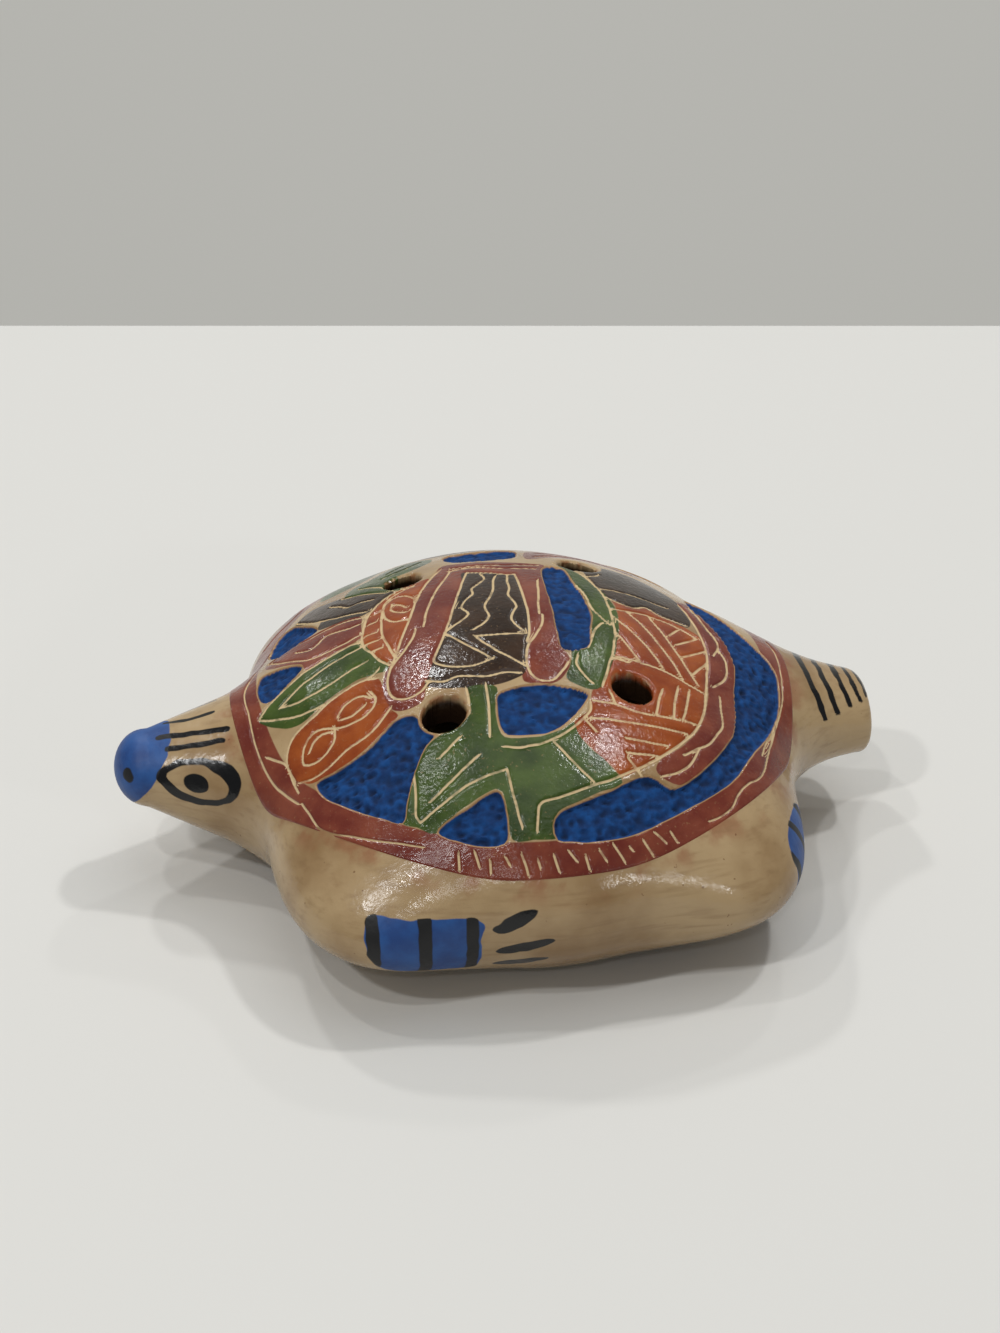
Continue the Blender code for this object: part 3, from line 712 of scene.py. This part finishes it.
UNDERLAP = 0.985  # the bowl's rim starts just inside the carapace's
under_rim = oval_radius(azimuth, RING_OUTER) * UNDERLAP
top_x, top_y = MIDDLE_X + under_rim * np.cos(azimuth), under_rim * np.sin(azimuth)
top_lift = np.arctan2(drop_on_skin(top_x, top_y) - CORE[2], under_rim)
share = np.linspace(0, 1, 260)
lifts = top_lift[:, None] + (-math.pi / 2 - top_lift[:, None]) * share
curves = cast(azimuth[:, None] + 0 * lifts, lifts, 40)
pieces_of_length = np.linalg.norm(np.diff(curves, axis=1), axis=2)
length = np.concatenate([np.zeros((COLUMNS, 1)), np.cumsum(pieces_of_length, 1)], 1)
rows = []
for so_far, lift, height in zip(length, lifts, curves[..., 2]):
    bend = so_far[np.argmax((height < 2.4) & (lift < -0.1))]
    side = np.linspace(0, bend, SIDE_ROWS + 1)
    belly = np.linspace(bend, so_far[-1], BELLY_ROWS + 1)[1:-1]
    rows.append(np.interp(np.concatenate([side, belly]), so_far, lift))
rows = np.array(rows)
wall = cast(azimuth[:, None] + 0 * rows, rows, 70)
ROWS = rows.shape[1]
reach = wall[..., 0].min().round(1), wall[..., 0].max().round(1)
print(COLUMNS, "columns of", ROWS, "rows, from x", *reach)

# %% [markdown]
# ## Marks painted on the cream clay
# Nose, eyes, toes and stripes are dabs of slip laid on with a small brush. Each is a distance again,
# so that its edge stays sharp close up. Both sides of the turtle get the same marks.

# %% How a brushed mark is measured


def none(p):
    """No mark anywhere."""
    return np.full(len(p), FAR)


def flat_shape(p, axes, outline):
    """Distance to a closed figure drawn on one side of the turtle."""
    return distance(p[:, axes], curve(outline, closed=True, step=0.5), filled=True)


def stroke(p, line, half):
    """Distance to the edge of a brush stroke in space."""
    line = curve(line, step=0.6)
    best = none(p)
    for a, b in zip(line, line[1:]):
        edge = b - a
        t = np.clip((p - a) @ edge / (edge @ edge), 0, 1)
        best = np.minimum(best, np.linalg.norm(p - a - t[:, None] * edge, axis=1))
    return best - half


# %% Marks on the head
# Where the blue of the nose ends: the height, then x.
NOSE_LINE = [(13, -54), (17.5, -50.7), (23, -47.4)]
BROW_STROKES = [  # a line in the plan and half its width
    ([(-48, 2), (-44.5, 0.5), (-41, 0.2)], 0.4), ([(-49.2, -1.3), (-44.5, -2.8), (-39.4, -4.2)], 0.5),
    ([(-48, -3.8), (-44, -4.9), (-40.3, -5.7)], 0.45), ([(-47, 4.4), (-40.4, 4.6)], 0.34),
]
EYE_OUTSIDE = [(-50, 19), (-48, 20.8), (-44.5, 21.8), (-40, 21.9), (-38.2, 20.2), (-40, 17),
               (-43.5, 15.8), (-47.5, 16.5)]
EYE_INSIDE = [(-48.6, 19.4), (-46.5, 20.8), (-43, 21.2), (-40.2, 19.5), (-40.5, 17.5), (-43.5, 16.6),
              (-46.8, 17.6)]


def nose(p, both):
    """Blue nose with two black nostrils."""
    nostril = stroke(both, [(-53.7, -4.0, 18.8), (-53.3, -4.3, 18.4)], 1.0)
    return (p[:, 0] - np.interp(p[:, 2], *zip(*NOSE_LINE))) * 0.9, nostril


def brow(p, both):
    """Thin strokes over the forehead, each at the height of the skin below it."""
    strokes = [stroke(p, [(x, y, drop_on_skin(x, y)) for x, y in line], half) for line, half in BROW_STROKES]
    return none(p), np.min(strokes, axis=0)


def eye(p, both):
    """A black outline round a pupil, on each side of the head."""
    outside = np.where(both[:, 0] < -36, flat_shape(both, [0, 2], EYE_OUTSIDE), FAR)
    inside = flat_shape(both, [0, 2], EYE_INSIDE)
    pupil = (np.hypot((both[:, 0] + 44.5) / 1.75, (both[:, 2] - 18.9) / 1.25) - 1) * 1.4
    drawn = np.minimum(np.maximum(outside, -inside - 0.12), np.maximum(pupil, outside))
    return none(p), np.where(both[:, 1] < -3, drawn, FAR)


# %% Marks on the tail and legs
# Each tail stripe: x, half its width, and the height that it comes down to.
TAIL_STRIPES = [(48.4, 0.44, 18.6), (50.8, 0.44, 18.5), (53.1, 0.4, 18.8), (55, 0.34, 18.9), (56.4, 0.3, 19)]
TOES = [(-24.5, 16.8), (-18, 16.8), (-10.2, 16.5), (-9.9, 13), (-10.5, 7.2), (-16, 7.2), (-21.5, 8),
        (-24.9, 12)]
REAR_TOES = [(-26.5, 17), (-31, 18.3), (-36, 17.4), (-38.2, 14), (-38, 9), (-34, 6.6), (-28.5, 7),
             (-26.4, 12)]
DABS = [
    [(-8.5, 15), (-7, 14.4), (-4, 16), (-2.5, 17.9), (-5.5, 17.3)],
    [(-8, 10.8), (-6, 10.3), (-2.5, 11.4), (-0.2, 13), (-2, 13.3), (-6.5, 12)],
    [(-8.2, 7.5), (-5, 6.9), (-0.8, 8.7), (-2, 9.2), (-7, 8.2)],
]


def tail_stripes(p, both):
    """Five strokes over the top of the tail, each leaning back as it comes down."""
    black = none(p)
    for x, half, end in TAIL_STRIPES:
        off = np.abs(p[:, 0] - x + 0.3 * np.maximum(p[:, 2] - end, 0)) - half
        black = np.minimum(black, np.maximum(off, (end - p[:, 2]) * 0.8))
    return none(p), black


def toes(patch, along, stripes):
    """A blue patch with black stripes across it, which run 0.1 mm over its edge."""
    lines = np.min([np.abs(along - at) - half for at, half in stripes], axis=0)
    return patch, np.maximum(lines, patch - 0.1)


def front_toes(p, both):
    patch = np.where(both[:, 1] < -30, flat_shape(both, [0, 2], TOES), FAR)
    return toes(patch, both[:, 0], ((-24.2, 0.9), (-17.3, 0.9), (-11, 0.8)))


def rear_toes(p, both):
    patch = np.where(both[:, 0] > 31, flat_shape(both, [1, 2], REAR_TOES), FAR)
    return toes(patch, both[:, 1], ((-37.4, 0.7), (-32.6, 0.7), (-27.6, 0.7)))


def side_dabs(p, both):
    """Three short dabs behind the front toes."""
    dabs = np.min([flat_shape(both, [0, 2], dab) for dab in DABS], axis=0)
    return none(p), np.where(both[:, 1] < -36, dabs, FAR)


# %% All the brushed marks together
BRUSHWORK = (nose, brow, eye, tail_stripes, front_toes, side_dabs, rear_toes)


def brushed_marks(p):
    """Distances to the blue, to the black and to the ring, for places on the cream clay."""
    p = p + 0.3 * np.stack([noise(p, 1.2, seed) - 0.5 for seed in (3, 6, 8)], -1)
    both = p * (1, 0, 1) - np.abs(p) * (0, 1, 0)
    blue, black = (np.min(layer, axis=0) for layer in zip(*[mark(p, both) for mark in BRUSHWORK]))
    rim = beyond(p, RING_OUTER) + 0.4 * np.maximum(21 - p[:, 2], 0)
    return {"blue": blue, "black": black, "rim": np.where(p[:, 2] > 14, np.minimum(rim, FAR), FAR)}


# %% [markdown]
# Each limb is closed at the back with a fan of faces that meet inside the wall, and the bowl is closed
# with the same fans, so every piece is a solid lump of clay, as it was before it was stuck on.

# %% Handing out the skin to the pieces
TOP = 4  # rows of the wall that stay with the bowl above a limb
APEX_Z = 11.5  # where the fan behind a limb meets, inside the wall
mid_wall = (HALF_LENGTH - 1.6, HALF_WIDTH - 1.8)
LIMBS = {  # the piece's CAD node, the way it points and half its share of the skin, in degrees
    "turtle_head": ("head", 180, 24), "tail_mouthpiece_clay": ("tail_mouthpiece", 0, 22),
    "front_left_leg": ("leg_front_left", -131, 22), "front_right_leg": ("leg_front_right", 131, 22),
    "rear_left_leg": ("leg_rear_left", -51, 22), "rear_right_leg": ("leg_rear_right", 51, 22),
}
flat_wall = wall.reshape(-1, 3)
wall_index = np.arange(COLUMNS * ROWS).reshape(COLUMNS, ROWS)
degrees = np.degrees(azimuth)
taken = np.zeros((COLUMNS, ROWS - 1), bool)
pieces, fans = {}, []
for name, (_, centre, half) in LIMBS.items():
    inside_block = np.abs((degrees - centre + 180) % 360 - 180) < half
    first = next(c for c in range(COLUMNS) if inside_block[c] and not inside_block[c - 1])
    cols = [(first + k) % COLUMNS for k in range(inside_block.sum())]
    block = wall_index[cols, TOP:SIDE_ROWS + 1]
    taken[cols[:-1], TOP:SIDE_ROWS] = True
    loop = np.concatenate([block[:-1, 0], block[-1, :-1], block[:0:-1, -1], block[0, :0:-1]])
    a = math.radians(centre)
    r = oval_radius(np.array([a]), mid_wall)[0]
    apex = np.array([MIDDLE_X + r * math.cos(a), r * math.sin(a), APEX_Z])
    grid = np.stack([block[:-1, :-1], block[:-1, 1:], block[1:, 1:], block[1:, :-1]], -1).reshape(-1, 4)
    used, local = np.unique(grid, return_inverse=True)
    loop_here = np.searchsorted(used, loop)
    fan = [(a, b, len(used)) for a, b in zip(loop_here, np.roll(loop_here, -1))]
    faces = local.reshape(-1, 4).tolist() + fan
    coords = np.vstack([flat_wall[used], apex])
    pieces[name] = clean(piece(name, coords, faces, brushed_marks(coords)))
    fans.append((loop, apex))
    print(name, len(faces), "faces")

# %% The lower bowl, from what is left
keep = ~taken
a, b = wall_index, np.roll(wall_index, -1, axis=0)
grid = np.stack([a[:, :-1], a[:, 1:], b[:, 1:], b[:, :-1]], -1)[keep]
coords = [flat_wall, np.array([[MIDDLE_X, 0, wall[:, -1, 2].mean()]])]
pole = len(flat_wall)
faces = grid.tolist() + [(a[k, -1], pole, b[k, -1]) for k in range(COLUMNS)]
for loop, apex in fans:
    at = pole + len(coords) - 1
    coords.append(apex[None])
    faces += [(b, a, at) for a, b in zip(loop, np.roll(loop, -1))]
first = sum(len(c) for c in coords)
INNER_COUNT = 180
coords.append(inner_rings(azimuth[:: COLUMNS // INNER_COUNT], up=False))
faces += inner_faces(wall_index[:, 0], first, INNER_COUNT)
coords = np.vstack(coords)
used, local = np.unique(np.concatenate([np.ravel(f) for f in faces]), return_inverse=True)
sizes = np.cumsum([0] + [len(f) for f in faces])
faces = [tuple(local[s:e]) for s, e in zip(sizes, sizes[1:])]
bowl = clean(piece("lower_bowl", coords[used], faces, brushed_marks(coords[used])))
pieces["lower_bowl"] = bowl
print("lower_bowl", len(faces), "faces")

# %% Window, sounding edge and windway
WINDWAY_RISE, RAMP_RISE = math.radians(17), math.radians(35.5)
WINDWAY_START, WINDWAY_LENGTH, WINDWAY_HEIGHT, WINDWAY_WIDTH = (36, 5.94), 28, 1.8, 8
ends = []
for along, across in ((0, -1), (0, 1), (1, 1), (1, -1)):
    far, up = along * WINDWAY_LENGTH, across * WINDWAY_HEIGHT / 2
    ends.append((WINDWAY_START[0] + far * math.cos(WINDWAY_RISE) - up * math.sin(WINDWAY_RISE),
                 WINDWAY_START[1] + far * math.sin(WINDWAY_RISE) + up * math.cos(WINDWAY_RISE)))
windway = prism(ends, -WINDWAY_WIDTH / 2, WINDWAY_WIDTH / 2, upright=False)
window = prism([(33, -4), (38, -4), (38, 4), (33, 4)], -2, 13)
edge_z = 5.2 + math.tan(RAMP_RISE)
foot_z = edge_z - 11 * math.tan(RAMP_RISE)
ramp = prism([(34, edge_z), (34, foot_z), (23, foot_z)], -4.5, 4.5, upright=False)
for tool in (window, ramp, windway):
    take_away(bowl, [tool])
for tool in (window, windway):
    take_away(pieces["tail_mouthpiece_clay"], [tool])
print("windway and window cut")

# %% Shading normals straight from the formula


def true_normals(obj):
    """Shade each place of the skin by the formula, so that no joint between two pieces shows."""
    mesh = obj.data
    mesh.set_sharp_from_angle(angle=math.radians(35))
    co = places_of(obj)
    corner = np.empty(len(mesh.loops), np.int32)
    mesh.loops.foreach_get("vertex_index", corner)
    own = np.empty(len(mesh.loops) * 3, np.float32)
    mesh.corner_normals.foreach_get("vector", own)
    own = own.reshape(-1, 3)
    faces = np.empty(len(mesh.polygons) * 3, np.float32)
    mesh.polygons.foreach_get("normal", faces)
    counts = np.empty(len(mesh.polygons), np.int32)
    mesh.polygons.foreach_get("loop_total", counts)
    flat = np.repeat(faces.reshape(-1, 3), counts, axis=0)
    true = skin_normal(co)[corner]
    good = (np.abs(skin(co)) < 0.03)[corner] & ((flat * true).sum(1) > 0.75)
    mesh.normals_split_custom_set(np.where(good[:, None], true, own).tolist())


for obj in pieces.values():
    true_normals(obj)
print("smoothed", len(pieces), "pieces")

# %% The coil inside the joint
TURNS, ROUND, PRESSES = 120, 12, 11
half = [(high - low) / 2 for low, high in zip(coil_low, coil_high)]
coords, faces = [], []
for i in range(TURNS):
    t = 2 * math.pi * i / TURNS
    squash = half[2] * (1 - 0.12 * (0.5 + 0.5 * math.sin(PRESSES * t)))
    for k in range(ROUND):
        s = 2 * math.pi * k / ROUND
        out = squash * math.cos(s) - half[2]
        coords.append((MIDDLE_X + (half[0] + out) * math.cos(t), (half[1] + out) * math.sin(t),
                       JOINT_Z + squash * math.sin(s)))
        n = (i + 1) % TURNS
        m = (k + 1) % ROUND
        faces.append((i * ROUND + k, n * ROUND + k, n * ROUND + m, i * ROUND + m))
coil = clean(piece("joint_coil", coords, faces))
print("joint coil", len(faces), "faces")

# %% [markdown]
# ## Finishes
# Slip is coloured clay, so it shines only where it's rubbed with a stone. The blue is a chalky pigment
# laid on at the end, which nobody rubs. Each finish here is a stack of coats: a coat is a colour and a
# mask that says where it lies. The masks come from the marks' distances, so they stay sharp close up,
# which a painted picture wouldn't.

# %% Helpers for the finishes
SMOOTH = {"interpolation_type": "SMOOTHSTEP"}
TIMES = {"operation": "MULTIPLY"}


def colour(code):
    """An sRGB hex code as linear colour."""
    parts = [int(code[i:i + 2], 16) / 255 for i in (1, 3, 5)]
    return [c / 12.92 if c <= 0.04045 else ((c + 0.055) / 1.055) ** 2.4 for c in parts] + [1.0]


def node(tree, kind, settings=None, out=0, **links):
    """Add a node, set its options, set or link its inputs by name or number, and give back an output."""
    made = tree.nodes.new("ShaderNode" + kind)
    for key, value in (settings or {}).items():
        setattr(made, key, value)
    for key, value in links.items():
        socket = made.inputs[int(key[1:]) if key[1:].isdigit() else key.replace("_", " ")]
        if isinstance(value, bpy.types.NodeSocket):
            tree.links.new(value, socket)
        else:
            socket.default_value = value
    return made.outputs[out] if made.outputs else made


def new_finish(name):
    """A material with an empty tree."""
    material = bpy.data.materials.new(name)
    material.use_nodes = True
    material.node_tree.nodes.clear()
    return material, material.node_tree


def fire(tree, **sockets):
    """End a finish with its shader. Fired clay is no metal, and its glassy minerals bend light by 1.5."""
    surface = node(tree, "BsdfPrincipled", Metallic=0.0, IOR=1.5, **sockets)
    node(tree, "OutputMaterial", Surface=surface)


# %% Patches, masks and coats


def patches(tree, size, low, high, weak=0.0, strong=1.0, detail=4.0):
    """Cloudy patches about size millimetres apart, from weak to strong."""
    place = node(tree, "TexCoord", out="Object")
    cloud = node(tree, "TexNoise", Vector=place, Scale=1 / (size * MM), Detail=detail)
    ends = {"From_Min": low, "From_Max": high, "To_Min": weak, "To_Max": strong}
    return node(tree, "MapRange", SMOOTH, Value=cloud, **ends)


def marked(tree, key, edge=0.09, limit=0.0, both_sides=False):
    """1 inside a mark and 0 outside it. A scratch counts on both sides of its line."""
    away = node(tree, "Attribute", {"attribute_name": key}, out="Fac")
    if both_sides:
        away = node(tree, "Math", {"operation": "ABSOLUTE"}, i0=away)
    ends = {"From_Min": limit - edge, "From_Max": limit + edge, "To_Min": 1.0, "To_Max": 0.0}
    return node(tree, "MapRange", SMOOTH, Value=away, **ends)


def coats(tree, ground, *layers):
    """Lay coats over a ground, each a mask and a colour, the last on top."""
    for mask, over in layers:
        pair = {key: colour(c) if isinstance(c, str) else c for key, c in (("i6", ground), ("i7", over))}
        ground = node(tree, "Mix", {"data_type": "RGBA"}, out=2, i0=mask, **pair)
    return ground


def hand_rubbed(tree, size, height, strength):
    """The faint unevenness that a rubbing stone leaves, which breaks the glints up."""
    place = node(tree, "TexCoord", out="Object")
    uneven = node(tree, "TexNoise", Vector=place, Scale=1 / (size * MM), Detail=4.0)
    return node(tree, "Bump", Strength=strength, Distance=height * MM, Height=uneven)


def burnished_cream(tree):
    """Cream clay: warm clouds from the fire and a few dark specks of grit."""
    clouds = patches(tree, 14, 0.35, 0.7)
    specks = patches(tree, 1.1, 0.72, 0.76, strong=0.7, detail=2.0)
    return coats(tree, "#AC936E", (clouds, "#896D4A"), (specks, "#6A4A30"))


# %% [markdown]
# The sides, head, legs and tail are earthenware, rubbed with a stone while leather-hard. That closes the
# surface, so it's half glossy, with faint streaks the way the stone went and warm clouds from the
# fire. Some red slip is smeared past the ring. The nose, toes, eyes and stripes are slip and soot black
# laid on with a brush: the blue is matt, and the black a little less so.

# %% Cream clay with brushed marks
cream, tree = new_finish("burnished cream clay with brushed marks")
near_ring = marked(tree, "rim", edge=2.2, limit=1.6)
smear = node(tree, "Math", TIMES, i0=near_ring, i1=patches(tree, 5, 0.48, 0.66, strong=0.6))
stone_way = node(tree, "Mapping", {"vector_type": "TEXTURE"}, Vector=node(tree, "TexCoord", out="Object"),
                 Scale=(9.0, 2.0, 1.0))
streaks = node(tree, "TexNoise", Vector=stone_way, Scale=1 / (0.9 * MM), Detail=3.0)
streaks = node(tree, "MapRange", SMOOTH, Value=streaks, From_Min=0.48, From_Max=0.75, To_Max=0.38)
blue = marked(tree, "blue")
brushed_blue = coats(tree, "#173D78", (patches(tree, 3, 0.3, 0.75, detail=3.0), "#20508F"))
clay = coats(tree, burnished_cream(tree), (smear, "#84492F"), (streaks, "#806444"),
             (blue, brushed_blue), (marked(tree, "black"), "#0D0D0F"))
rubbed = patches(tree, 6, 0.3, 0.7, 0.13, 0.24, detail=3.0)
fire(tree, Base_Color=clay, Roughness=node(tree, "MapRange", Value=blue, To_Min=rubbed, To_Max=0.5),
     Normal=hand_rubbed(tree, 1.1, 0.12, 0.6), Specular_IOR_Level=0.4)
print(cream.name, len(tree.nodes), "nodes")

# %% [markdown]
# Inside the joint nobody can rub the clay, so the coil stays as rough as it left the fingers.

# %% Bare clay inside the joint
raw, tree = new_finish("raw fired clay")
fire(tree, Base_Color=coats(tree, "#A97C52", (patches(tree, 4, 0.3, 0.7), "#8A6242")), Roughness=0.85)
print(raw.name, len(tree.nodes), "nodes")

# %% [markdown]
# The carapace carries four rubbed slips. Each is iron-rich or copper-stained clay, thin enough for pale
# grains to show. The scratches and the cut edges show the bare clay, the sunken grounds hold chalky blue,
# darkened in the deepest gouges as painted shade, the rims of the finger holes are worn by fingers, and the
# hole walls and the inside of the shell are painted near black as painted shade.

# %% Slips, scratches, sunken blue and painted shade on the carapace
slip, tree = new_finish("burnished slips scratched through to the clay")
uneven = patches(tree, 5, 0.3, 0.72)
slips = [(marked(tree, key), coats(tree, dark, (uneven, light))) for key, dark, light in (
    ("red", "#632820", "#7E412F"), ("orange", "#7C3415", "#984D20"),
    ("brown", "#261A12", "#3A281B"), ("green", "#2B3B17", "#455723"))]
pale_grains = patches(tree, 0.5, 0.62, 0.74, strong=0.35)
# Painted shade: the blue is darkened where the gouges are deepest, standing in for the shadow that falls in
# them.
gouge_shade = node(tree, "Attribute", {"attribute_name": "deep"}, out="Fac")
gouge_shade = node(tree, "MapRange", SMOOTH, Value=gouge_shade, From_Min=0.35, From_Max=1.3)
chalky_blue_and_gouge_shade = coats(tree, "#052A58", (patches(tree, 1.3, 0.3, 0.75, detail=3.0), "#0A437F"), (gouge_shade, "#061C3C"))
blue = marked(tree, "blue")
line = marked(tree, "scratch", edge=0.07, limit=0.17, both_sides=True)
for mask in (node(tree, "MapRange", Value=blue, To_Min=1.0, To_Max=0.0),
             marked(tree, "near", edge=0.06, limit=0.4),
             patches(tree, 1.4, 0.3, 0.5, weak=0.45, detail=3.0)):
    line = node(tree, "Math", TIMES, i0=line, i1=mask)
worn = node(tree, "Math", TIMES, i0=marked(tree, "hole", edge=0.2, limit=0.25),
            i1=patches(tree, 2, 0.45, 0.6, detail=2.0))
# The last coat, near black, is painted shade inside the finger holes and over the shell's inner wall.
clay = coats(tree, burnished_cream(tree), *slips, (pale_grains, "#9A7C56"),
             (marked(tree, "blue", limit=0.14), "#A07C52"), (marked(tree, "blue", limit=-0.08), chalky_blue_and_gouge_shade),
             (line, "#C6AE85"), (worn, "#8A6240"), (marked(tree, "hole", edge=0.45, limit=-0.4), "#24180F"))
rubbed = patches(tree, 4, 0.3, 0.7, 0.14, 0.24, detail=3.0)
rubbed = node(tree, "MapRange", Value=blue, To_Min=rubbed, To_Max=0.9)
fire(tree, Base_Color=clay, Roughness=node(tree, "MapRange", Value=line, To_Min=rubbed, To_Max=0.8),
     Normal=hand_rubbed(tree, 0.7, 0.1, 0.8), Specular_IOR_Level=0.3)
print(slip.name, len(tree.nodes), "nodes")

# %% Giving the pieces their finish and body, and hiding the CAD part each stands for
made = [(carapace, slip, "painted_slip", "upper_shell"), (coil, raw, "raw_clay", "seam_coil"),
        (bowl, cream, "cream_clay", "lower_shell")]
made += [(pieces[name], cream, "cream_clay", LIMBS[name][0]) for name in LIMBS]
for obj, material, slot_name, cad in made:
    obj.data.materials.clear()
    obj.data.materials.append(material)
    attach(obj, "root")
    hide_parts(cad)
    print(obj.name, "stands for", cad, len(obj.data.polygons), "faces")

# %% [markdown]
# ## Floor, light and camera
# A pale matt table top ends some way behind the flute, in front of a grey wall that glows a little, as a
# lit wall does. A soft ceiling lights the flute, and a few small lamps give the burnished clay its short
# bright glints. One big light would be simpler, but it would lay a dull sheen over the whole dome.

# %% Table and far wall
ROOM_TURN = math.radians(-10.7)


def sheet(name, corners, code, roughness, glow=0.0):
    """A flat rectangle in one plain colour, turned to lie square to the view."""
    obj = piece(name, corners, [(0, 1, 2, 3)])
    obj.rotation_euler.z = ROOM_TURN
    material, tree = new_finish(name)
    fire(tree, Base_Color=colour(code), Roughness=roughness, Emission_Color=colour(code),
         Emission_Strength=glow, Specular_IOR_Level=0.1)
    obj.data.materials.append(material)
    obj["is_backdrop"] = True


TABLE_Z, TABLE_EDGE = -0.2, 197  # just under the belly, and how far back the table reaches
WALL_Y, WALL_GLOW = 1600, 0.62
sheet("table", [(-1600, -1500, TABLE_Z), (1600, -1500, TABLE_Z), (1600, TABLE_EDGE, TABLE_Z),
                (-1600, TABLE_EDGE, TABLE_Z)], "#D4D3CF", 0.9)
sheet("far_wall", [(-2500, WALL_Y, -1200), (2500, WALL_Y, -1200), (2500, WALL_Y, 1800),
                   (-2500, WALL_Y, 1800)], "#B8B7B2", 0.9, WALL_GLOW)
print("table and wall placed")

# %% Lamps


def lamp(name, azimuth_deg, elevation_deg, away, size, power):
    """A square lamp aimed at the flute."""
    a, e = math.radians(azimuth_deg), math.radians(elevation_deg)
    data = bpy.data.lights.new(name, "AREA")
    data.size, data.energy = size, power
    obj = bpy.data.objects.new(name, data)
    bpy.context.scene.collection.objects.link(obj)
    way = Vector((math.cos(a) * math.cos(e), math.sin(a) * math.cos(e), math.sin(e)))
    obj.location = way * away + Vector((0, 0, 0.02))
    obj.rotation_euler = (-way).to_track_quat("-Z", "Y").to_euler()


# Name, azimuth and elevation in degrees, distance and size in metres, and watts.
LAMPS = [
    ("ceiling", 20, 80, 1.3, 1.0, 3.1),
    ("lamp behind", 106, 47, 1.2, 0.07, 2.3),
    ("lamp right", 24, 63, 1.2, 0.07, 3.2),
    ("lamp far right", 60, 43, 1.2, 0.05, 0.9),
    ("lamp far left", 154, 66, 1.2, 0.055, 1.4),
    ("lamp front left", -131, 61, 1.2, 0.05, 1.8),
    ("lamp by the head", -146, 49, 1.2, 0.06, 2.6),
    ("lamp over the shoulder", -106, 41, 1.2, 0.05, 0.7),
    ("lamp front right", -60, 22, 1.2, 0.06, 0.6),
]
for lamp_row in LAMPS:
    lamp(*lamp_row)
print(len(LAMPS), "lamps")

# %% Light from the rest of the room
world = bpy.data.worlds.new("room")
world.use_nodes = True
room_light = world.node_tree.nodes["Background"]
room_light.inputs["Color"].default_value = colour("#F2F4F2")
room_light.inputs["Strength"].default_value = 0.22
bpy.context.scene.world = world
print("room light", room_light.inputs["Strength"].default_value)

# %% Camera
view = bpy.data.cameras.new("camera")
view.lens, view.sensor_width = 61.95, 36
camera = bpy.data.objects.new("camera", view)
bpy.context.scene.collection.objects.link(camera)
camera.location = Vector((-52.3, -282.0, 200.4)) * MM
forward = Vector((0.15904, 0.84258, -0.51456))
camera.rotation_euler = forward.to_track_quat("-Z", "Y").to_euler()
bpy.context.scene.camera = camera
bpy.context.scene.view_settings.view_transform = "Standard"
print("camera", round(camera.location.length / MM), "mm from the flute")

# %% Size of the finished flute
low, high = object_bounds()
print("finished size", [round((h - l) / MM, 1) for l, h in zip(low, high)])
